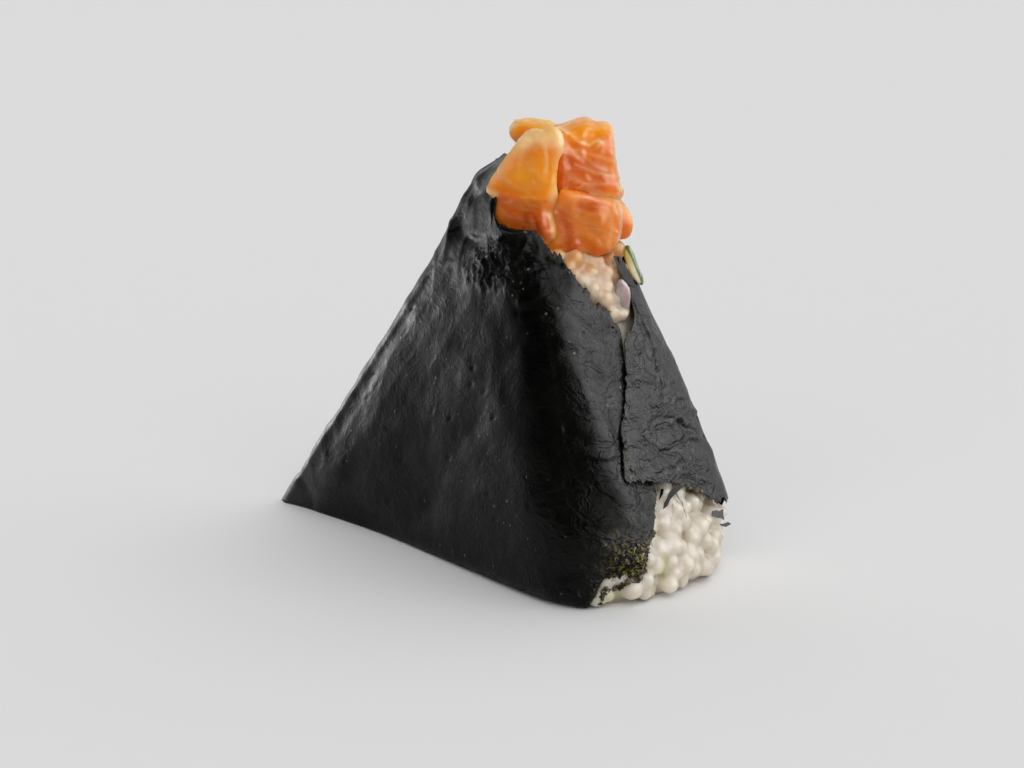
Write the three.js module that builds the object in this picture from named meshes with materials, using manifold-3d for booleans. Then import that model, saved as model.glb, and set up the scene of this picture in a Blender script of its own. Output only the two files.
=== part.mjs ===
// An onigiri: a wedge of pressed rice in one sheet of nori, torn open at its thick corner,
// with raw salmon, a strip of cucumber and a slice of onion at the open top.
// Millimetres. +X runs from the thin corner to the thick one, -Y is the broad front face,
// +Z is up, and the underside of the nori lies on z = 0.
import * as THREE from "three";
import { mergeVertices } from "three/addons/utils/BufferGeometryUtils.js";
import Module from "manifold-3d";

const wasm = await Module();
wasm.setup();

// ---------------------------------------------------------------- driving sizes of the rice ball
const APEX = { x: 8.5, y: 4.4, z: 86.4 }; // where the three corners would meet, above the open top
const THIN_CORNER_X = -52.4;
const THIN_CORNER_Y = -0.2;
const THICK_CORNER_X = 50;
const THICKNESS = [ // half the thickness at the thick corner, by height
  [0, 22.9],
  [15, 22.9],
  [50, 16.4],
  [72, 13.1],
  [90, 8],
];
const CORNER_ROUND = 9.3; // how far back from the thick end its rounding starts
const EAR_SHARE = 0.17; // thickness of the folded thin edge, as a share of the thick end's
const EAR_LENGTH = 0.113; // length of that fold, as a share of the section's length
const BASE_ROUND = 3; // radius between the faces and the underside
const BASE_TUCK = 3; // how far the thick end is drawn in at the base
const BASE_TUCK_HEIGHT = 14;
const END_BULGE = 1.5; // how far the thick end bows outwards halfway up
const THIN_HOLLOW = 0.8; // how far the thin edge bows inwards halfway up

// ---------------------------------------------------------------- driving sizes of the sheet
const NORI_THICK = 0.6;
const FLAP_LIFT = 1.0; // how far the end of the sheet stands off where it overlaps its start
const SHEET_COLUMNS = 58;
const CORNER_CROWDING = 0.035; // draws the columns closer at the thin edge and the thick end
const BASE_ROWS = [0, 0.007, 0.022, 0.05]; // the rows round the base, as shares of the height
const SHEET_ROWS = 13; // the even rows above them
const TORN_BASE = { steps: 7, bay: 3.5, tooth: 1 }; // the torn end of the underside
const GAP = 0.3; // clearance between neighbouring pieces

// Round the body, p = 0 is the thin edge, p = -1 and p = 1 are the middle of the thick end,
// negative in front. The sheet starts behind the flap and ends at the seam, past p = 1.
const SHEET_START = [ // height, p
  [17, -0.978],
  [38, -0.99],
  [44, -1.02],
];
const SHEET_END = [
  [22, 1.085],
  [29, 1.062],
  [34, 1.032],
  [42, 0.993],
];
// The torn lower border and the open rim, as the share of the sheet's length and the height.
const LOWER_BORDER = [
  [0, 17.6],
  [0.009, 14.2],
  [0.0165, 11.7],
  [0.026, 9.6],
  [0.03, 5.3],
  [0.045, 5.8],
  [0.063, 5.2],
  [0.068, 2.4],
  [0.077, 0],
  [0.859, 0],
  [0.864, 5],
  [0.877, 11.8],
  [0.895, 13.7],
  [0.913, 15.7],
  [0.937, 17.6],
  [0.974, 19.9],
  [0.994, 20.9],
  [1, 22],
];
const RIM = [
  [0, 44.8],
  [0.013, 48.2],
  [0.035, 49.4],
  [0.0416, 51.4],
  [0.077, 57],
  [0.104, 59.3],
  [0.128, 62.2],
  [0.175, 62.6],
  [0.209, 63.4],
  [0.254, 66.6],
  [0.381, 67.2],
  [0.415, 70.8],
  [0.459, 72.5],
  [0.52, 73.3],
  [0.582, 72.4],
  [0.68, 68],
  [0.8, 62.5],
  [0.85, 57.5],
  [0.895, 50.6],
  [0.914, 50.8],
  [0.926, 55.2],
  [0.9435, 55.8],
  [0.95, 49.2],
  [0.96, 45.8],
  [0.985, 43.8],
  [1, 42.4],
];

// ---------------------------------------------------------------- driving sizes of the rice
const RICE_INSET = 1.6; // from the outside of the body to the bare core
const CORE_SIDE = 16; // steps along each side of the core
const CORE_LEVELS = [1.2, 2.6, 6, 10, 14, 18, 24, 32, 40, 46, 50, 54];
const CORE_TOP = { z: 66, fall: 0.44, from: 3 }; // the top slopes down towards the thick end
const GRAIN = { length: 5.6, width: 3.1, thick: 2.7 };
const GRAIN_PITCH = { along: 4.1, up: 2.9 };
const GRAIN_DEPTH = 1.2; // from the outside of the body to the middle of a grain
const GRAIN_REACH = 2.1; // how far from a grain's middle the sheet must end
const GRAINS_FROM = 0.72; // grains are tried from this p round the thick end to the same behind
const GRAINS_TOP = 57; // the filling hides the core above this
const UNEVEN = { height: 0.8, turn: Math.PI, tilt: 0.7, size: 0.2, depth: 0.5 };
const FLOOR_CLEAR = 0.15;

// ---------------------------------------------------------------- small helpers
const clamp01 = (v) => Math.min(1, Math.max(0, v));

function smoothstep(a, b, v) {
  const t = clamp01((v - a) / (b - a));
  return t * t * (3 - 2 * t);
}

// Straight-line reading of a list of [position, value].
function along(list, at) {
  if (at <= list[0][0]) return list[0][1];
  for (let i = 1; i < list.length; i++) {
    const [a, va] = list[i - 1];
    const [b, vb] = list[i];
    if (at <= b) return va + ((vb - va) * (at - a)) / (b - a);
  }
  return list[list.length - 1][1];
}

// A seeded draw between 0 and 1, the same on every run.
function seeded(seed) {
  let state = seed;
  return () => {
    state = (state * 1664525 + 1013904223) % 4294967296;
    return state / 4294967296;
  };
}

// ---------------------------------------------------------------- the body's surface
// One side of the horizontal section at height z, from the thin edge to the thick end.
function sideOfSection(z, side) {
  const rise = z / APEX.z;
  const bow = Math.sin(Math.PI * Math.min(rise, 1));
  const thinX = THIN_CORNER_X + (APEX.x - THIN_CORNER_X) * rise + THIN_HOLLOW * bow;
  const tuck = BASE_TUCK * (1 - smoothstep(0, BASE_TUCK_HEIGHT, z));
  const thickX = THICK_CORNER_X + (APEX.x - THICK_CORNER_X) * rise - tuck + END_BULGE * bow;
  const length = Math.max(thickX - thinX, 4);
  const below = Math.max(BASE_ROUND - z, 0);
  const rounding = BASE_ROUND - Math.sqrt(BASE_ROUND ** 2 - below ** 2);
  const half = along(THICKNESS, z) - rounding;
  const startY = THIN_CORNER_Y * (1 - rise) + APEX.y * rise;
  const ear = EAR_LENGTH * length;
  const round = Math.min(CORNER_ROUND, length * 0.6);
  const distances = [];
  for (let i = 0; i <= 8; i++) distances.push(3 * (i / 8) ** 2);
  for (let i = 1; i < 40; i++) distances.push(3 + ((length - round - 3) * i) / 40);
  for (let i = 0; i <= 20; i++)
    distances.push(length - round + round * Math.sin((Math.PI / 2) * (i / 20)) ** (2 / 3));
  return distances.map((d) => {
    const fold = EAR_SHARE * Math.min(1, Math.sqrt(d / 3)) * (1 - smoothstep(ear / 2, ear * 3, d));
    const ramp = clamp01((d - ear) / (length - ear - round / 2)) ** 0.9;
    const end = clamp01((d - (length - round)) / round);
    const share = Math.min(1, fold + ramp) * (1 - end ** 3) ** (1 / 2.2);
    const middle = startY * (1 - d / length) + (APEX.y * rise * d) / length;
    return new THREE.Vector2(thinX + d, middle + side * half * share);
  });
}

// The point of the body's outside at p and height z, with its outward direction in plan.
function onBody(p, z) {
  const wrapped = p > 1 ? p - 2 : p < -1 ? p + 2 : p;
  const side = wrapped < 0 ? -1 : 1;
  const line = sideOfSection(z, side);
  const lengths = [0];
  for (let i = 1; i < line.length; i++)
    lengths.push(lengths[i - 1] + line[i].distanceTo(line[i - 1]));
  const wanted = Math.abs(wrapped) * lengths[lengths.length - 1];
  let i = 1;
  while (i < line.length - 1 && lengths[i] < wanted) i++;
  const share = (wanted - lengths[i - 1]) / Math.max(lengths[i] - lengths[i - 1], 1e-9);
  const at = line[i - 1].clone().lerp(line[i], clamp01(share));
  const step = line[i].clone().sub(line[i - 1]).normalize();
  const out = new THREE.Vector2(-step.y * side, step.x * side);
  return { at: new THREE.Vector3(at.x, at.y, z), out, length: lengths[lengths.length - 1] };
}

// ---------------------------------------------------------------- solids from surfaces
function geometryOf(points, faces) {
  const geometry = new THREE.BufferGeometry();
  geometry.setAttribute(
    "position",
    new THREE.Float32BufferAttribute(points.flatMap((p) => [p.x, p.y, p.z]), 3),
  );
  geometry.setIndex(faces.flat());
  return geometry;
}

function solidOf(geometry) {
  const bare = geometry.clone();
  bare.deleteAttribute("normal");
  bare.deleteAttribute("uv");
  const merged = mergeVertices(bare, 1e-4);
  const mesh = new wasm.Mesh({
    numProp: 3,
    vertProperties: new Float32Array(merged.attributes.position.array),
    triVerts: new Uint32Array(merged.index.array),
  });
  return new wasm.Manifold(mesh);
}

// The largest closed body of a solid, as a geometry.
function largestBody(solid) {
  const bodies = solid.decompose();
  bodies.sort((a, b) => b.volume() - a.volume());
  const mesh = bodies[0].getMesh();
  const geometry = new THREE.BufferGeometry();
  const positions = new Float32Array(mesh.numVert * 3);
  for (let i = 0; i < mesh.numVert; i++)
    positions.set(mesh.vertProperties.subarray(i * mesh.numProp, i * mesh.numProp + 3), i * 3);
  geometry.setAttribute("position", new THREE.BufferAttribute(positions, 3));
  geometry.setIndex(new THREE.BufferAttribute(new Uint32Array(mesh.triVerts), 1));
  return geometry;
}

// Each vertex's shift that moves every face around it outwards by about one unit.
function outwardShifts(points, faces) {
  const sums = points.map(() => new THREE.Vector3());
  const normals = faces.map(([a, b, c]) => {
    const ab = points[b].clone().sub(points[a]);
    const ac = points[c].clone().sub(points[a]);
    return ab.cross(ac);
  });
  faces.forEach((face, f) => face.forEach((v) => sums[v].add(normals[f])));
  sums.forEach((sum) => sum.normalize());
  const least = points.map(() => 1);
  faces.forEach((face, f) => {
    const unit = normals[f].clone().normalize();
    face.forEach((v) => (least[v] = Math.min(least[v], unit.dot(sums[v]))));
  });
  return sums.map((sum, v) => sum.multiplyScalar(1 / Math.max(least[v], 0.6)));
}

function grown(geometry, by) {
  const merged = mergeVertices(geometry.clone(), 1e-4);
  const position = merged.attributes.position;
  const points = [];
  for (let i = 0; i < position.count; i++)
    points.push(new THREE.Vector3().fromBufferAttribute(position, i));
  const faces = [];
  for (let i = 0; i < merged.index.count; i += 3)
    faces.push([merged.index.getX(i), merged.index.getX(i + 1), merged.index.getX(i + 2)]);
  const shifts = outwardShifts(points, faces);
  return geometryOf(points.map((p, i) => p.clone().addScaledVector(shifts[i], by)), faces);
}

// A piece cut clear of the pieces that already stand in its way.
function clearOf(geometry, others) {
  let solid = solidOf(geometry);
  for (const other of others) solid = solid.subtract(solidOf(grown(other, GAP)));
  return largestBody(solid);
}

// ---------------------------------------------------------------- nori
// Low waves left by the pressed rice under the sheet, none near the seam or the floor.
function noriRelief(p, z) {
  const calm = smoothstep(0, 8, z) * (1 - smoothstep(0.86, 0.94, Math.abs(p)));
  const waves =
    Math.sin(p * 31 + z * 0.16) * Math.sin(z * 0.21 - p * 9 + 1) +
    0.6 * Math.sin(p * 58 - z * 0.37 + 2) * Math.sin(z * 0.33 + p * 22);
  return 0.32 * calm * waves;
}

function sheetPoint(share, z) {
  const start = along(SHEET_START, z);
  const end = along(SHEET_END, z);
  const p = start + (end - start) * share;
  const { at, out } = onBody(p, z);
  const lift = noriRelief(p, z) + FLAP_LIFT * smoothstep(0.74, 0.92, p);
  return new THREE.Vector3(at.x + out.x * lift, at.y + out.y * lift, z);
}

function noriWrap() {
  const points = [];
  const faces = [];
  const columns = [];
  const lastBase = BASE_ROWS[BASE_ROWS.length - 1];
  const rows = [...BASE_ROWS];
  for (let j = 1; j <= SHEET_ROWS; j++) rows.push(lastBase + ((1 - lastBase) * j) / SHEET_ROWS);
  for (let i = 0; i <= SHEET_COLUMNS; i++) {
    const t = i / SHEET_COLUMNS;
    const share = t - CORNER_CROWDING * Math.sin(4 * Math.PI * t);
    const low = along(LOWER_BORDER, share);
    const high = along(RIM, share);
    const column = rows.map((row) => sheetPoint(share, low + (high - low) * row));
    columns.push({ low, column: column.map((point) => points.push(point) - 1) });
  }
  for (let i = 0; i < SHEET_COLUMNS; i++) {
    const a = columns[i].column;
    const b = columns[i + 1].column;
    for (let j = 0; j + 1 < a.length; j++) {
      if ((i + j) % 2) faces.push([a[j], a[j + 1], b[j]], [b[j], a[j + 1], b[j + 1]]);
      else faces.push([a[j], a[j + 1], b[j + 1]], [a[j], b[j + 1], b[j]]);
    }
  }
  // The underside: the flat that closes the wrap between the columns that reach the floor.
  const rim = columns.filter((c) => c.low === 0).map((c) => c.column[0]);
  const torn = [];
  const from = points[rim[rim.length - 1]];
  const to = points[rim[0]];
  for (let i = 1; i < TORN_BASE.steps; i++) {
    const share = i / TORN_BASE.steps;
    const bay = TORN_BASE.bay * Math.sin(Math.PI * share) + TORN_BASE.tooth * (i % 2);
    const at = from.clone().lerp(to, share);
    torn.push(points.push(new THREE.Vector3(at.x - bay, at.y, 0)) - 1);
  }
  const outline = [...rim, ...torn];
  const flat = outline.map((v) => new THREE.Vector2(points[v].x, points[v].y));
  for (const [a, b, c] of THREE.ShapeUtils.triangulateShape(flat, []))
    faces.push([outline[c], outline[b], outline[a]]);
  return thickened(points, faces, NORI_THICK);
}

// A closed sheet: the given outer skin, the same skin moved inwards, and a wall round the border.
function thickened(points, faces, thick) {
  const shifts = outwardShifts(points, faces);
  const inner = points.map((p, i) => p.clone().addScaledVector(shifts[i], -thick));
  const count = points.length;
  const all = [...faces, ...faces.map(([a, b, c]) => [a + count, c + count, b + count])];
  const edges = new Set(faces.flatMap(([a, b, c]) => [a + "," + b, b + "," + c, c + "," + a]));
  for (const edge of edges) {
    const [a, b] = edge.split(",").map(Number);
    if (!edges.has(b + "," + a)) all.push([b, a, a + count], [b, a + count, b + count]);
  }
  return geometryOf([...points, ...inner], all);
}

// ---------------------------------------------------------------- pieces of the filling
const CHUNK_AROUND = 26; // points round a chunk's outline
const CHUNK_LAYERS = [0.55, 0.86, 1]; // its rings, from the middle of a face out to the outline

// A rounded chunk: its outline stands upright at (x, y), turned by yaw degrees about Z,
// in [across, up] millimetres. Its faces bulge out, squarer with a higher squareness, and
// above the ridge height its front leans back.
function chunk({ x, y, yaw, thick, outline, squareness = 3, ridge = APEX.z, lean = 0, wave = 0 }) {
  const curve = new THREE.CatmullRomCurve3(
    outline.map(([across, up]) => new THREE.Vector3(across, 0, up)),
    true,
    "centripetal",
  );
  const border = curve.getSpacedPoints(CHUNK_AROUND).slice(0, CHUNK_AROUND);
  const middle = new THREE.Vector3();
  border.forEach((p) => middle.add(p));
  middle.divideScalar(CHUNK_AROUND);
  const points = [];
  const ringAt = (share, depth) =>
    border.map((p) => {
      const at = middle.clone().lerp(p, share);
      const rough = wave * Math.sin(at.x * 1.7 + at.z * 1.1) * (1 - share ** 4);
      return points.push(new THREE.Vector3(at.x, depth + rough, at.z)) - 1;
    });
  const depthAt = (share) => (thick / 2) * (1 - share ** squareness) ** (1 / squareness);
  const front = CHUNK_LAYERS.map((share) => ringAt(share, -depthAt(share)));
  const back = CHUNK_LAYERS.slice(0, -1).map((share) => ringAt(share, depthAt(share)));
  const rings = [...front, ...back.reverse()];
  const frontMiddle = points.push(new THREE.Vector3(middle.x, -thick / 2, middle.z)) - 1;
  const backMiddle = points.push(new THREE.Vector3(middle.x, thick / 2, middle.z)) - 1;
  const faces = [];
  for (let i = 0; i < CHUNK_AROUND; i++) {
    const n = (i + 1) % CHUNK_AROUND;
    faces.push([frontMiddle, rings[0][n], rings[0][i]]);
    for (let r = 0; r + 1 < rings.length; r++) {
      faces.push([rings[r][i], rings[r][n], rings[r + 1][n]]);
      faces.push([rings[r][i], rings[r + 1][n], rings[r + 1][i]]);
    }
    faces.push([rings[rings.length - 1][i], rings[rings.length - 1][n], backMiddle]);
  }
  for (const p of points) p.y += lean * Math.max(0, p.z - ridge);
  const geometry = geometryOf(points, faces);
  geometry.rotateZ(THREE.MathUtils.degToRad(yaw));
  return geometry.translate(x, y, 0);
}

// Each piece of the filling, front to back; each is cut clear of those before it.
const CHUNKS = {
  salmon_front: {
    x: 13.8,
    y: -2.8,
    yaw: 14,
    thick: 5.5,
    squareness: 5,
    wave: 0.2,
    outline: [
      [-7.6, 68.2],
      [-3.9, 74.1],
      [-0.1, 78.5],
      [2.6, 79.5],
      [5.9, 79],
      [7.1, 71.7],
      [6.3, 68.2],
      [4.9, 65],
      [5.6, 60.4],
      [4.1, 59.2],
      [1, 58],
      [-3.6, 58.5],
      [-6.2, 66.4],
    ],
  },
  salmon_main: {
    x: 20,
    y: 8.3,
    yaw: 41,
    thick: 9,
    squareness: 6,
    ridge: 75.5,
    lean: 0.7,
    wave: 0.3,
    outline: [
      [-8.4, 78.2],
      [-4.6, 79.8],
      [-1.4, 80.6],
      [0.7, 79.7],
      [3.1, 79.7],
      [3.7, 75.4],
      [4.3, 70.5],
      [5.5, 66.3],
      [-0.6, 66.4],
      [-6.6, 68],
      [-9, 72],
    ],
  },
  salmon_lower: {
    x: 20.4,
    y: 6.2,
    yaw: 41,
    thick: 10,
    squareness: 5,
    wave: 0.25,
    outline: [
      [-9.4, 68.5],
      [-5.6, 69.5],
      [-0.3, 68.6],
      [2.2, 67.6],
      [5.5, 66.6],
      [6.3, 63.9],
      [6, 60.1],
      [5.3, 58.2],
      [4.1, 56.8],
      [1.6, 56.3],
      [-4.2, 56.3],
      [-8.6, 56.7],
      [-10.3, 60.5],
    ],
  },
  salmon_back_left: {
    x: 9,
    y: 7,
    yaw: 20,
    thick: 8,
    squareness: 4,
    outline: [
      [-6.3, 78.1],
      [-5.1, 79.6],
      [-3.4, 80],
      [-0.3, 79.9],
      [4.4, 78.4],
      [5.2, 68],
      [0, 62],
      [-5, 66],
      [-6.2, 74],
    ],
  },
  salmon_right: {
    x: 22,
    y: 14,
    yaw: 41,
    thick: 4.5,
    outline: [
      [-0.8, 66],
      [1.4, 63.3],
      [2, 61.3],
      [1.9, 59.6],
      [0.8, 58.5],
      [-1.6, 59],
      [-2, 63.1],
    ],
  },
  cucumber_strip: {
    x: 24.6,
    y: 14.2,
    yaw: 41,
    thick: 1.8,
    squareness: 5,
    outline: [
      [-1.8, 57.2],
      [-0.9, 57.9],
      [-0.2, 56.8],
      [0.8, 54.2],
      [1.9, 51.4],
      [1.8, 50.3],
      [1, 50.5],
      [-0.4, 52.3],
      [-1.5, 55],
    ],
  },
  onion_slice: {
    x: 27.4,
    y: 6.6,
    yaw: 41,
    thick: 1.3,
    squareness: 5,
    outline: [
      [-0.9, 49.5],
      [0.1, 53],
      [1.9, 51.3],
      [1.8, 47.5],
      [1.1, 44.8],
      [0.2, 45.5],
      [-0.4, 47.7],
    ],
  },
};

// ---------------------------------------------------------------- rice
// The bare core: rings round the body a little inside it, that stop short of the folded edge.
function riceCore() {
  const first = 0.16;
  const turns = [];
  for (let i = 0; i <= CORE_SIDE; i++) turns.push(-first - ((1 - first) * i) / CORE_SIDE);
  for (let i = 1; i <= CORE_SIDE; i++) turns.push(1 - ((1 - first) * i) / CORE_SIDE);
  const inside = (p, z) => {
    const { at, out } = onBody(p, z);
    return new THREE.Vector3(at.x - out.x * RICE_INSET, at.y - out.y * RICE_INSET, z);
  };
  const points = [];
  const rings = CORE_LEVELS.map((z) => turns.map((p) => points.push(inside(p, z)) - 1));
  const topOf = (p) => {
    const under = inside(p, CORE_TOP.z);
    return inside(p, CORE_TOP.z - CORE_TOP.fall * Math.max(0, under.x - CORE_TOP.from));
  };
  rings.push(turns.map((p) => points.push(topOf(p)) - 1));
  const faces = [];
  for (let r = 0; r + 1 < rings.length; r++)
    for (let i = 0; i < turns.length; i++) {
      const n = (i + 1) % turns.length;
      faces.push([rings[r][i], rings[r][n], rings[r + 1][n]]);
      faces.push([rings[r][i], rings[r + 1][n], rings[r + 1][i]]);
    }
  const bottom = rings[0];
  const top = rings[rings.length - 1];
  const plan = (ring) => ring.map((v) => new THREE.Vector2(points[v].x, points[v].y));
  for (const [a, b, c] of THREE.ShapeUtils.triangulateShape(plan(bottom), []))
    faces.push([bottom[c], bottom[b], bottom[a]]);
  for (const [a, b, c] of THREE.ShapeUtils.triangulateShape(plan(top), []))
    faces.push([top[a], top[b], top[c]]);
  return geometryOf(points, faces);
}

// Whether the sheet lies over the body at p and height z.
function underNori(p, z) {
  return [p, p + 2].some((turn) => {
    const start = along(SHEET_START, z);
    const share = (turn - start) / (along(SHEET_END, z) - start);
    if (share < 0 || share > 1) return false;
    return z > along(LOWER_BORDER, share) && z < along(RIM, share);
  });
}

// One grain, lying on the body at p and height z.
function grainAt(p, z, uneven) {
  const { at, out } = onBody(p, z);
  const outward = new THREE.Vector3(out.x, out.y, 0.25).normalize();
  const sideways = new THREE.Vector3(-out.y, out.x, 0);
  const size = 1 + uneven(UNEVEN.size);
  const depth = GRAIN_DEPTH + uneven(UNEVEN.depth);
  const grain = new THREE.SphereGeometry(1, 5, 4);
  grain.scale((GRAIN.length * size) / 2, GRAIN.width / 2, GRAIN.thick / 2);
  grain.rotateY(uneven(UNEVEN.tilt));
  grain.rotateZ(uneven(UNEVEN.turn));
  const upward = outward.clone().cross(sideways);
  grain.applyMatrix4(new THREE.Matrix4().makeBasis(sideways, upward, outward));
  grain.translate(at.x - out.x * depth, at.y - out.y * depth, z);
  grain.computeBoundingBox();
  return grain.translate(0, 0, Math.max(0, FLOOR_CLEAR - grain.boundingBox.min.z));
}

// Grains lie in uneven rows wherever the sheet leaves the body bare.
function riceGrains() {
  const draw = seeded(7);
  const uneven = (size) => size * (draw() - 0.5);
  const reaches = [[0, 0], [1, 0], [-1, 0], [0, 1], [0, -1]];
  const grains = [];
  for (let level = GRAIN.thick / 2; level < GRAINS_TOP; level += GRAIN_PITCH.up) {
    const { length } = onBody(1, level);
    const step = GRAIN_PITCH.along / length;
    const reach = GRAIN_REACH / length;
    for (let p = GRAINS_FROM + draw() * step; p < 2 - GRAINS_FROM; p += step) {
      const z = level + uneven(UNEVEN.height);
      const wrapped = p > 1 ? p - 2 : p;
      const bare = reaches.every(
        ([across, up]) => !underNori(wrapped + across * reach, z + up * GRAIN_REACH),
      );
      if (bare) grains.push(grainAt(wrapped, Math.max(z, GRAIN.thick / 2), uneven));
    }
  }
  return grains;
}

function riceHeap(neighbours) {
  let solid = solidOf(riceCore());
  for (const grain of riceGrains()) solid = solid.add(solidOf(grain));
  for (const other of neighbours) solid = solid.subtract(solidOf(grown(other, GAP)));
  return largestBody(solid);
}

// ---------------------------------------------------------------- the whole rice ball
const COLOURS = {
  nori: 0x1b1e1b,
  rice: 0xe6dfd0,
  salmon: 0xe07a38,
  cucumber: 0x9fae4a,
  onion: 0xa89296,
};

function meshOf(name, geometry, color, roughness) {
  const material = new THREE.MeshStandardMaterial({ color, roughness, metalness: 0 });
  const mesh = new THREE.Mesh(geometry, material);
  mesh.name = name;
  return mesh;
}

const onigiri = new THREE.Group();
const nori = noriWrap();
onigiri.add(meshOf("nori_wrap", nori, COLOURS.nori, 0.5));
const placed = [nori];
for (const [name, shape] of Object.entries(CHUNKS)) {
  const piece = clearOf(chunk(shape), placed);
  placed.push(piece);
  onigiri.add(meshOf(name, piece, COLOURS[name.split("_")[0]], 0.35));
}
onigiri.add(meshOf("rice", riceHeap(placed), COLOURS.rice, 0.45));

export default onigiri;
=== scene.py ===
# %% [markdown]
# # An onigiri, dressed
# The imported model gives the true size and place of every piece: one sheet of nori, the
# pressed rice, five pieces of salmon, a strip of cucumber and a slice of onion. This script
# keeps those places and gives each piece the surface that the real one has.

# %% Load the frame
import math
import random

import bpy
import numpy as np
from mathutils import Matrix, Vector, noise
from mathutils.bvhtree import BVHTree
from mathutils.kdtree import KDTree


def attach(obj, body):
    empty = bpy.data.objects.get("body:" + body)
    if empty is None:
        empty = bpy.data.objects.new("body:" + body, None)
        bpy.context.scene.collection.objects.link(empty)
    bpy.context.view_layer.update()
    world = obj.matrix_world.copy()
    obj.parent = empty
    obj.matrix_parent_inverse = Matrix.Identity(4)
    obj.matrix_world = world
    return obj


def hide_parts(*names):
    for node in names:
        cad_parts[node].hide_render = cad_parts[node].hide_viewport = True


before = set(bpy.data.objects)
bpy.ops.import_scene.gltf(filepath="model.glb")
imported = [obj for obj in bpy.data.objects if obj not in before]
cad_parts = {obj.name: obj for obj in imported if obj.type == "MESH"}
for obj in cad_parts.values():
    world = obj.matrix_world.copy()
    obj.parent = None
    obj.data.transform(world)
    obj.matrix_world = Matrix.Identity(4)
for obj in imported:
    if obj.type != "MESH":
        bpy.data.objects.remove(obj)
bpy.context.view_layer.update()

MM = 0.001

# %% [markdown]
# ## The camera comes first
# Every later choice is judged through it. A long lens held a little above the table keeps
# the edges of the wedge nearly parallel. The camera is placed by the point that it aims at,
# a turn, a rise and a distance, which is easier to adjust than three bare coordinates.

# %% Camera
AIM = Vector((8.0, 0.0, 32.1))
VIEW_TURN = math.radians(40.9)
VIEW_RISE = math.radians(12.53)
VIEW_DISTANCE = 437
LENS_MM, SENSOR_MM = 84.4, 36
IMAGE_WIDE, IMAGE_HIGH = 1024, 768

TOWARDS_VIEW = Vector((
    math.sin(VIEW_TURN) * math.cos(VIEW_RISE),
    -math.cos(VIEW_TURN) * math.cos(VIEW_RISE),
    math.sin(VIEW_RISE),
))
camera_data = bpy.data.cameras.new("camera")
camera_data.lens = LENS_MM
camera_data.sensor_width = SENSOR_MM
camera_data.clip_end = 30
camera = bpy.data.objects.new("camera", camera_data)
camera.location = (AIM + TOWARDS_VIEW * VIEW_DISTANCE) * MM
camera.rotation_euler = (-TOWARDS_VIEW).to_track_quat("-Z", "Y").to_euler()
bpy.context.scene.collection.objects.link(camera)
bpy.context.scene.camera = camera
print("camera at", [round(v, 3) for v in camera.location])

# %% [markdown]
# A few marks, such as a crease or a pale edge, are easiest to name by where they fall in the
# picture. This helper turns points of the model into picture places, so a mark can be laid on
# the surface there. The mark is then part of the mesh and stays put in every other view.

# %% Picture places
VIEW_RIGHT = np.array(Vector((0, 0, 1)).cross(TOWARDS_VIEW).normalized())
VIEW_UP = np.array(TOWARDS_VIEW.cross(Vector(VIEW_RIGHT)).normalized())
VIEW_BACK = np.array(TOWARDS_VIEW)
EYE = np.array(AIM) + VIEW_BACK * VIEW_DISTANCE
FOCAL_PIXELS = LENS_MM / SENSOR_MM * IMAGE_WIDE


def picture_place(points):
    ray = np.asarray(points, float) - EYE
    depth = -(ray @ VIEW_BACK)
    across = IMAGE_WIDE / 2 + FOCAL_PIXELS * (ray @ VIEW_RIGHT) / depth
    down = IMAGE_HIGH / 2 - FOCAL_PIXELS * (ray @ VIEW_UP) / depth
    return np.stack([across, down], 1)


def from_line(places, line):
    """How far each picture place is from a line of points."""
    line = np.asarray(line, float)
    nearest = np.full(len(places), 1e9)
    for a, b in zip(line[:-1], line[1:]):
        run = b - a
        t = np.clip(((places - a) @ run) / max(run @ run, 1e-9), 0, 1)
        nearest = np.minimum(nearest, np.linalg.norm(places - a - t[:, None] * run, axis=1))
    return nearest


def inside_outline(places, outline):
    """1 inside a closed outline, 0 outside."""
    outline = np.asarray(outline, float)
    found = np.zeros(len(places), bool)
    for (ax, ay), (bx, by) in zip(outline, np.roll(outline, -1, 0)):
        spans = (ay > places[:, 1]) != (by > places[:, 1])
        crossing = ax + (places[:, 1] - ay) / (by - ay if by != ay else 1e-9) * (bx - ax)
        found ^= spans & (places[:, 0] < crossing)
    return found


def towards_outline(places, outline):
    """How far inside a closed outline each picture place lies, negative outside."""
    distance = from_line(places, list(outline) + [outline[0]])
    return np.where(inside_outline(places, outline), distance, -distance)


def line_of_sight(across, down):
    ray = VIEW_RIGHT * (across - IMAGE_WIDE / 2) - VIEW_UP * (down - IMAGE_HIGH / 2)
    return Vector(ray / FOCAL_PIXELS - VIEW_BACK).normalized()


def seen_on(tree, across, down):
    """The point and the normal where a line of sight meets a piece, in mm."""
    point, normal, _, _ = tree.ray_cast(Vector(EYE), line_of_sight(across, down))
    return point, normal


# %% [markdown]
# ## The shape of the wedge
# The nori and the rice both follow one body: a wedge, thin and folded at one corner, thick
# and round at the other, that narrows upwards. A horizontal section of it is worked out from
# a few sizes, and a point on it is named by two numbers: its height z, and its place p round
# the section, 0 at the thin edge and 1 (or -1) at the middle of the thick end, negative in
# front. A table of sections makes looking up ten thousands of points quick.

# %% Sections of the body
APEX_X, APEX_Y, APEX_Z = 8.5, 4.4, 86.4
THIN_X, THIN_Y, THICK_X = -52.4, -0.2, 50.0
HALF_THICKNESS = ([0, 15, 50, 72, 90], [22.9, 22.9, 16.4, 13.1, 8])
CORNER_ROUND, EAR_SHARE, EAR_LENGTH, BASE_ROUND = 9.3, 0.17, 0.113, 3.0
P_GRID = np.linspace(-1, 1, 801)
Z_GRID = np.concatenate([np.linspace(0, 3, 16), np.linspace(3.5, 78, 150)])


def smoothstep(a, b, v):
    t = np.clip((np.asarray(v, float) - a) / (b - a), 0, 1)
    return t * t * (3 - 2 * t)


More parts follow.
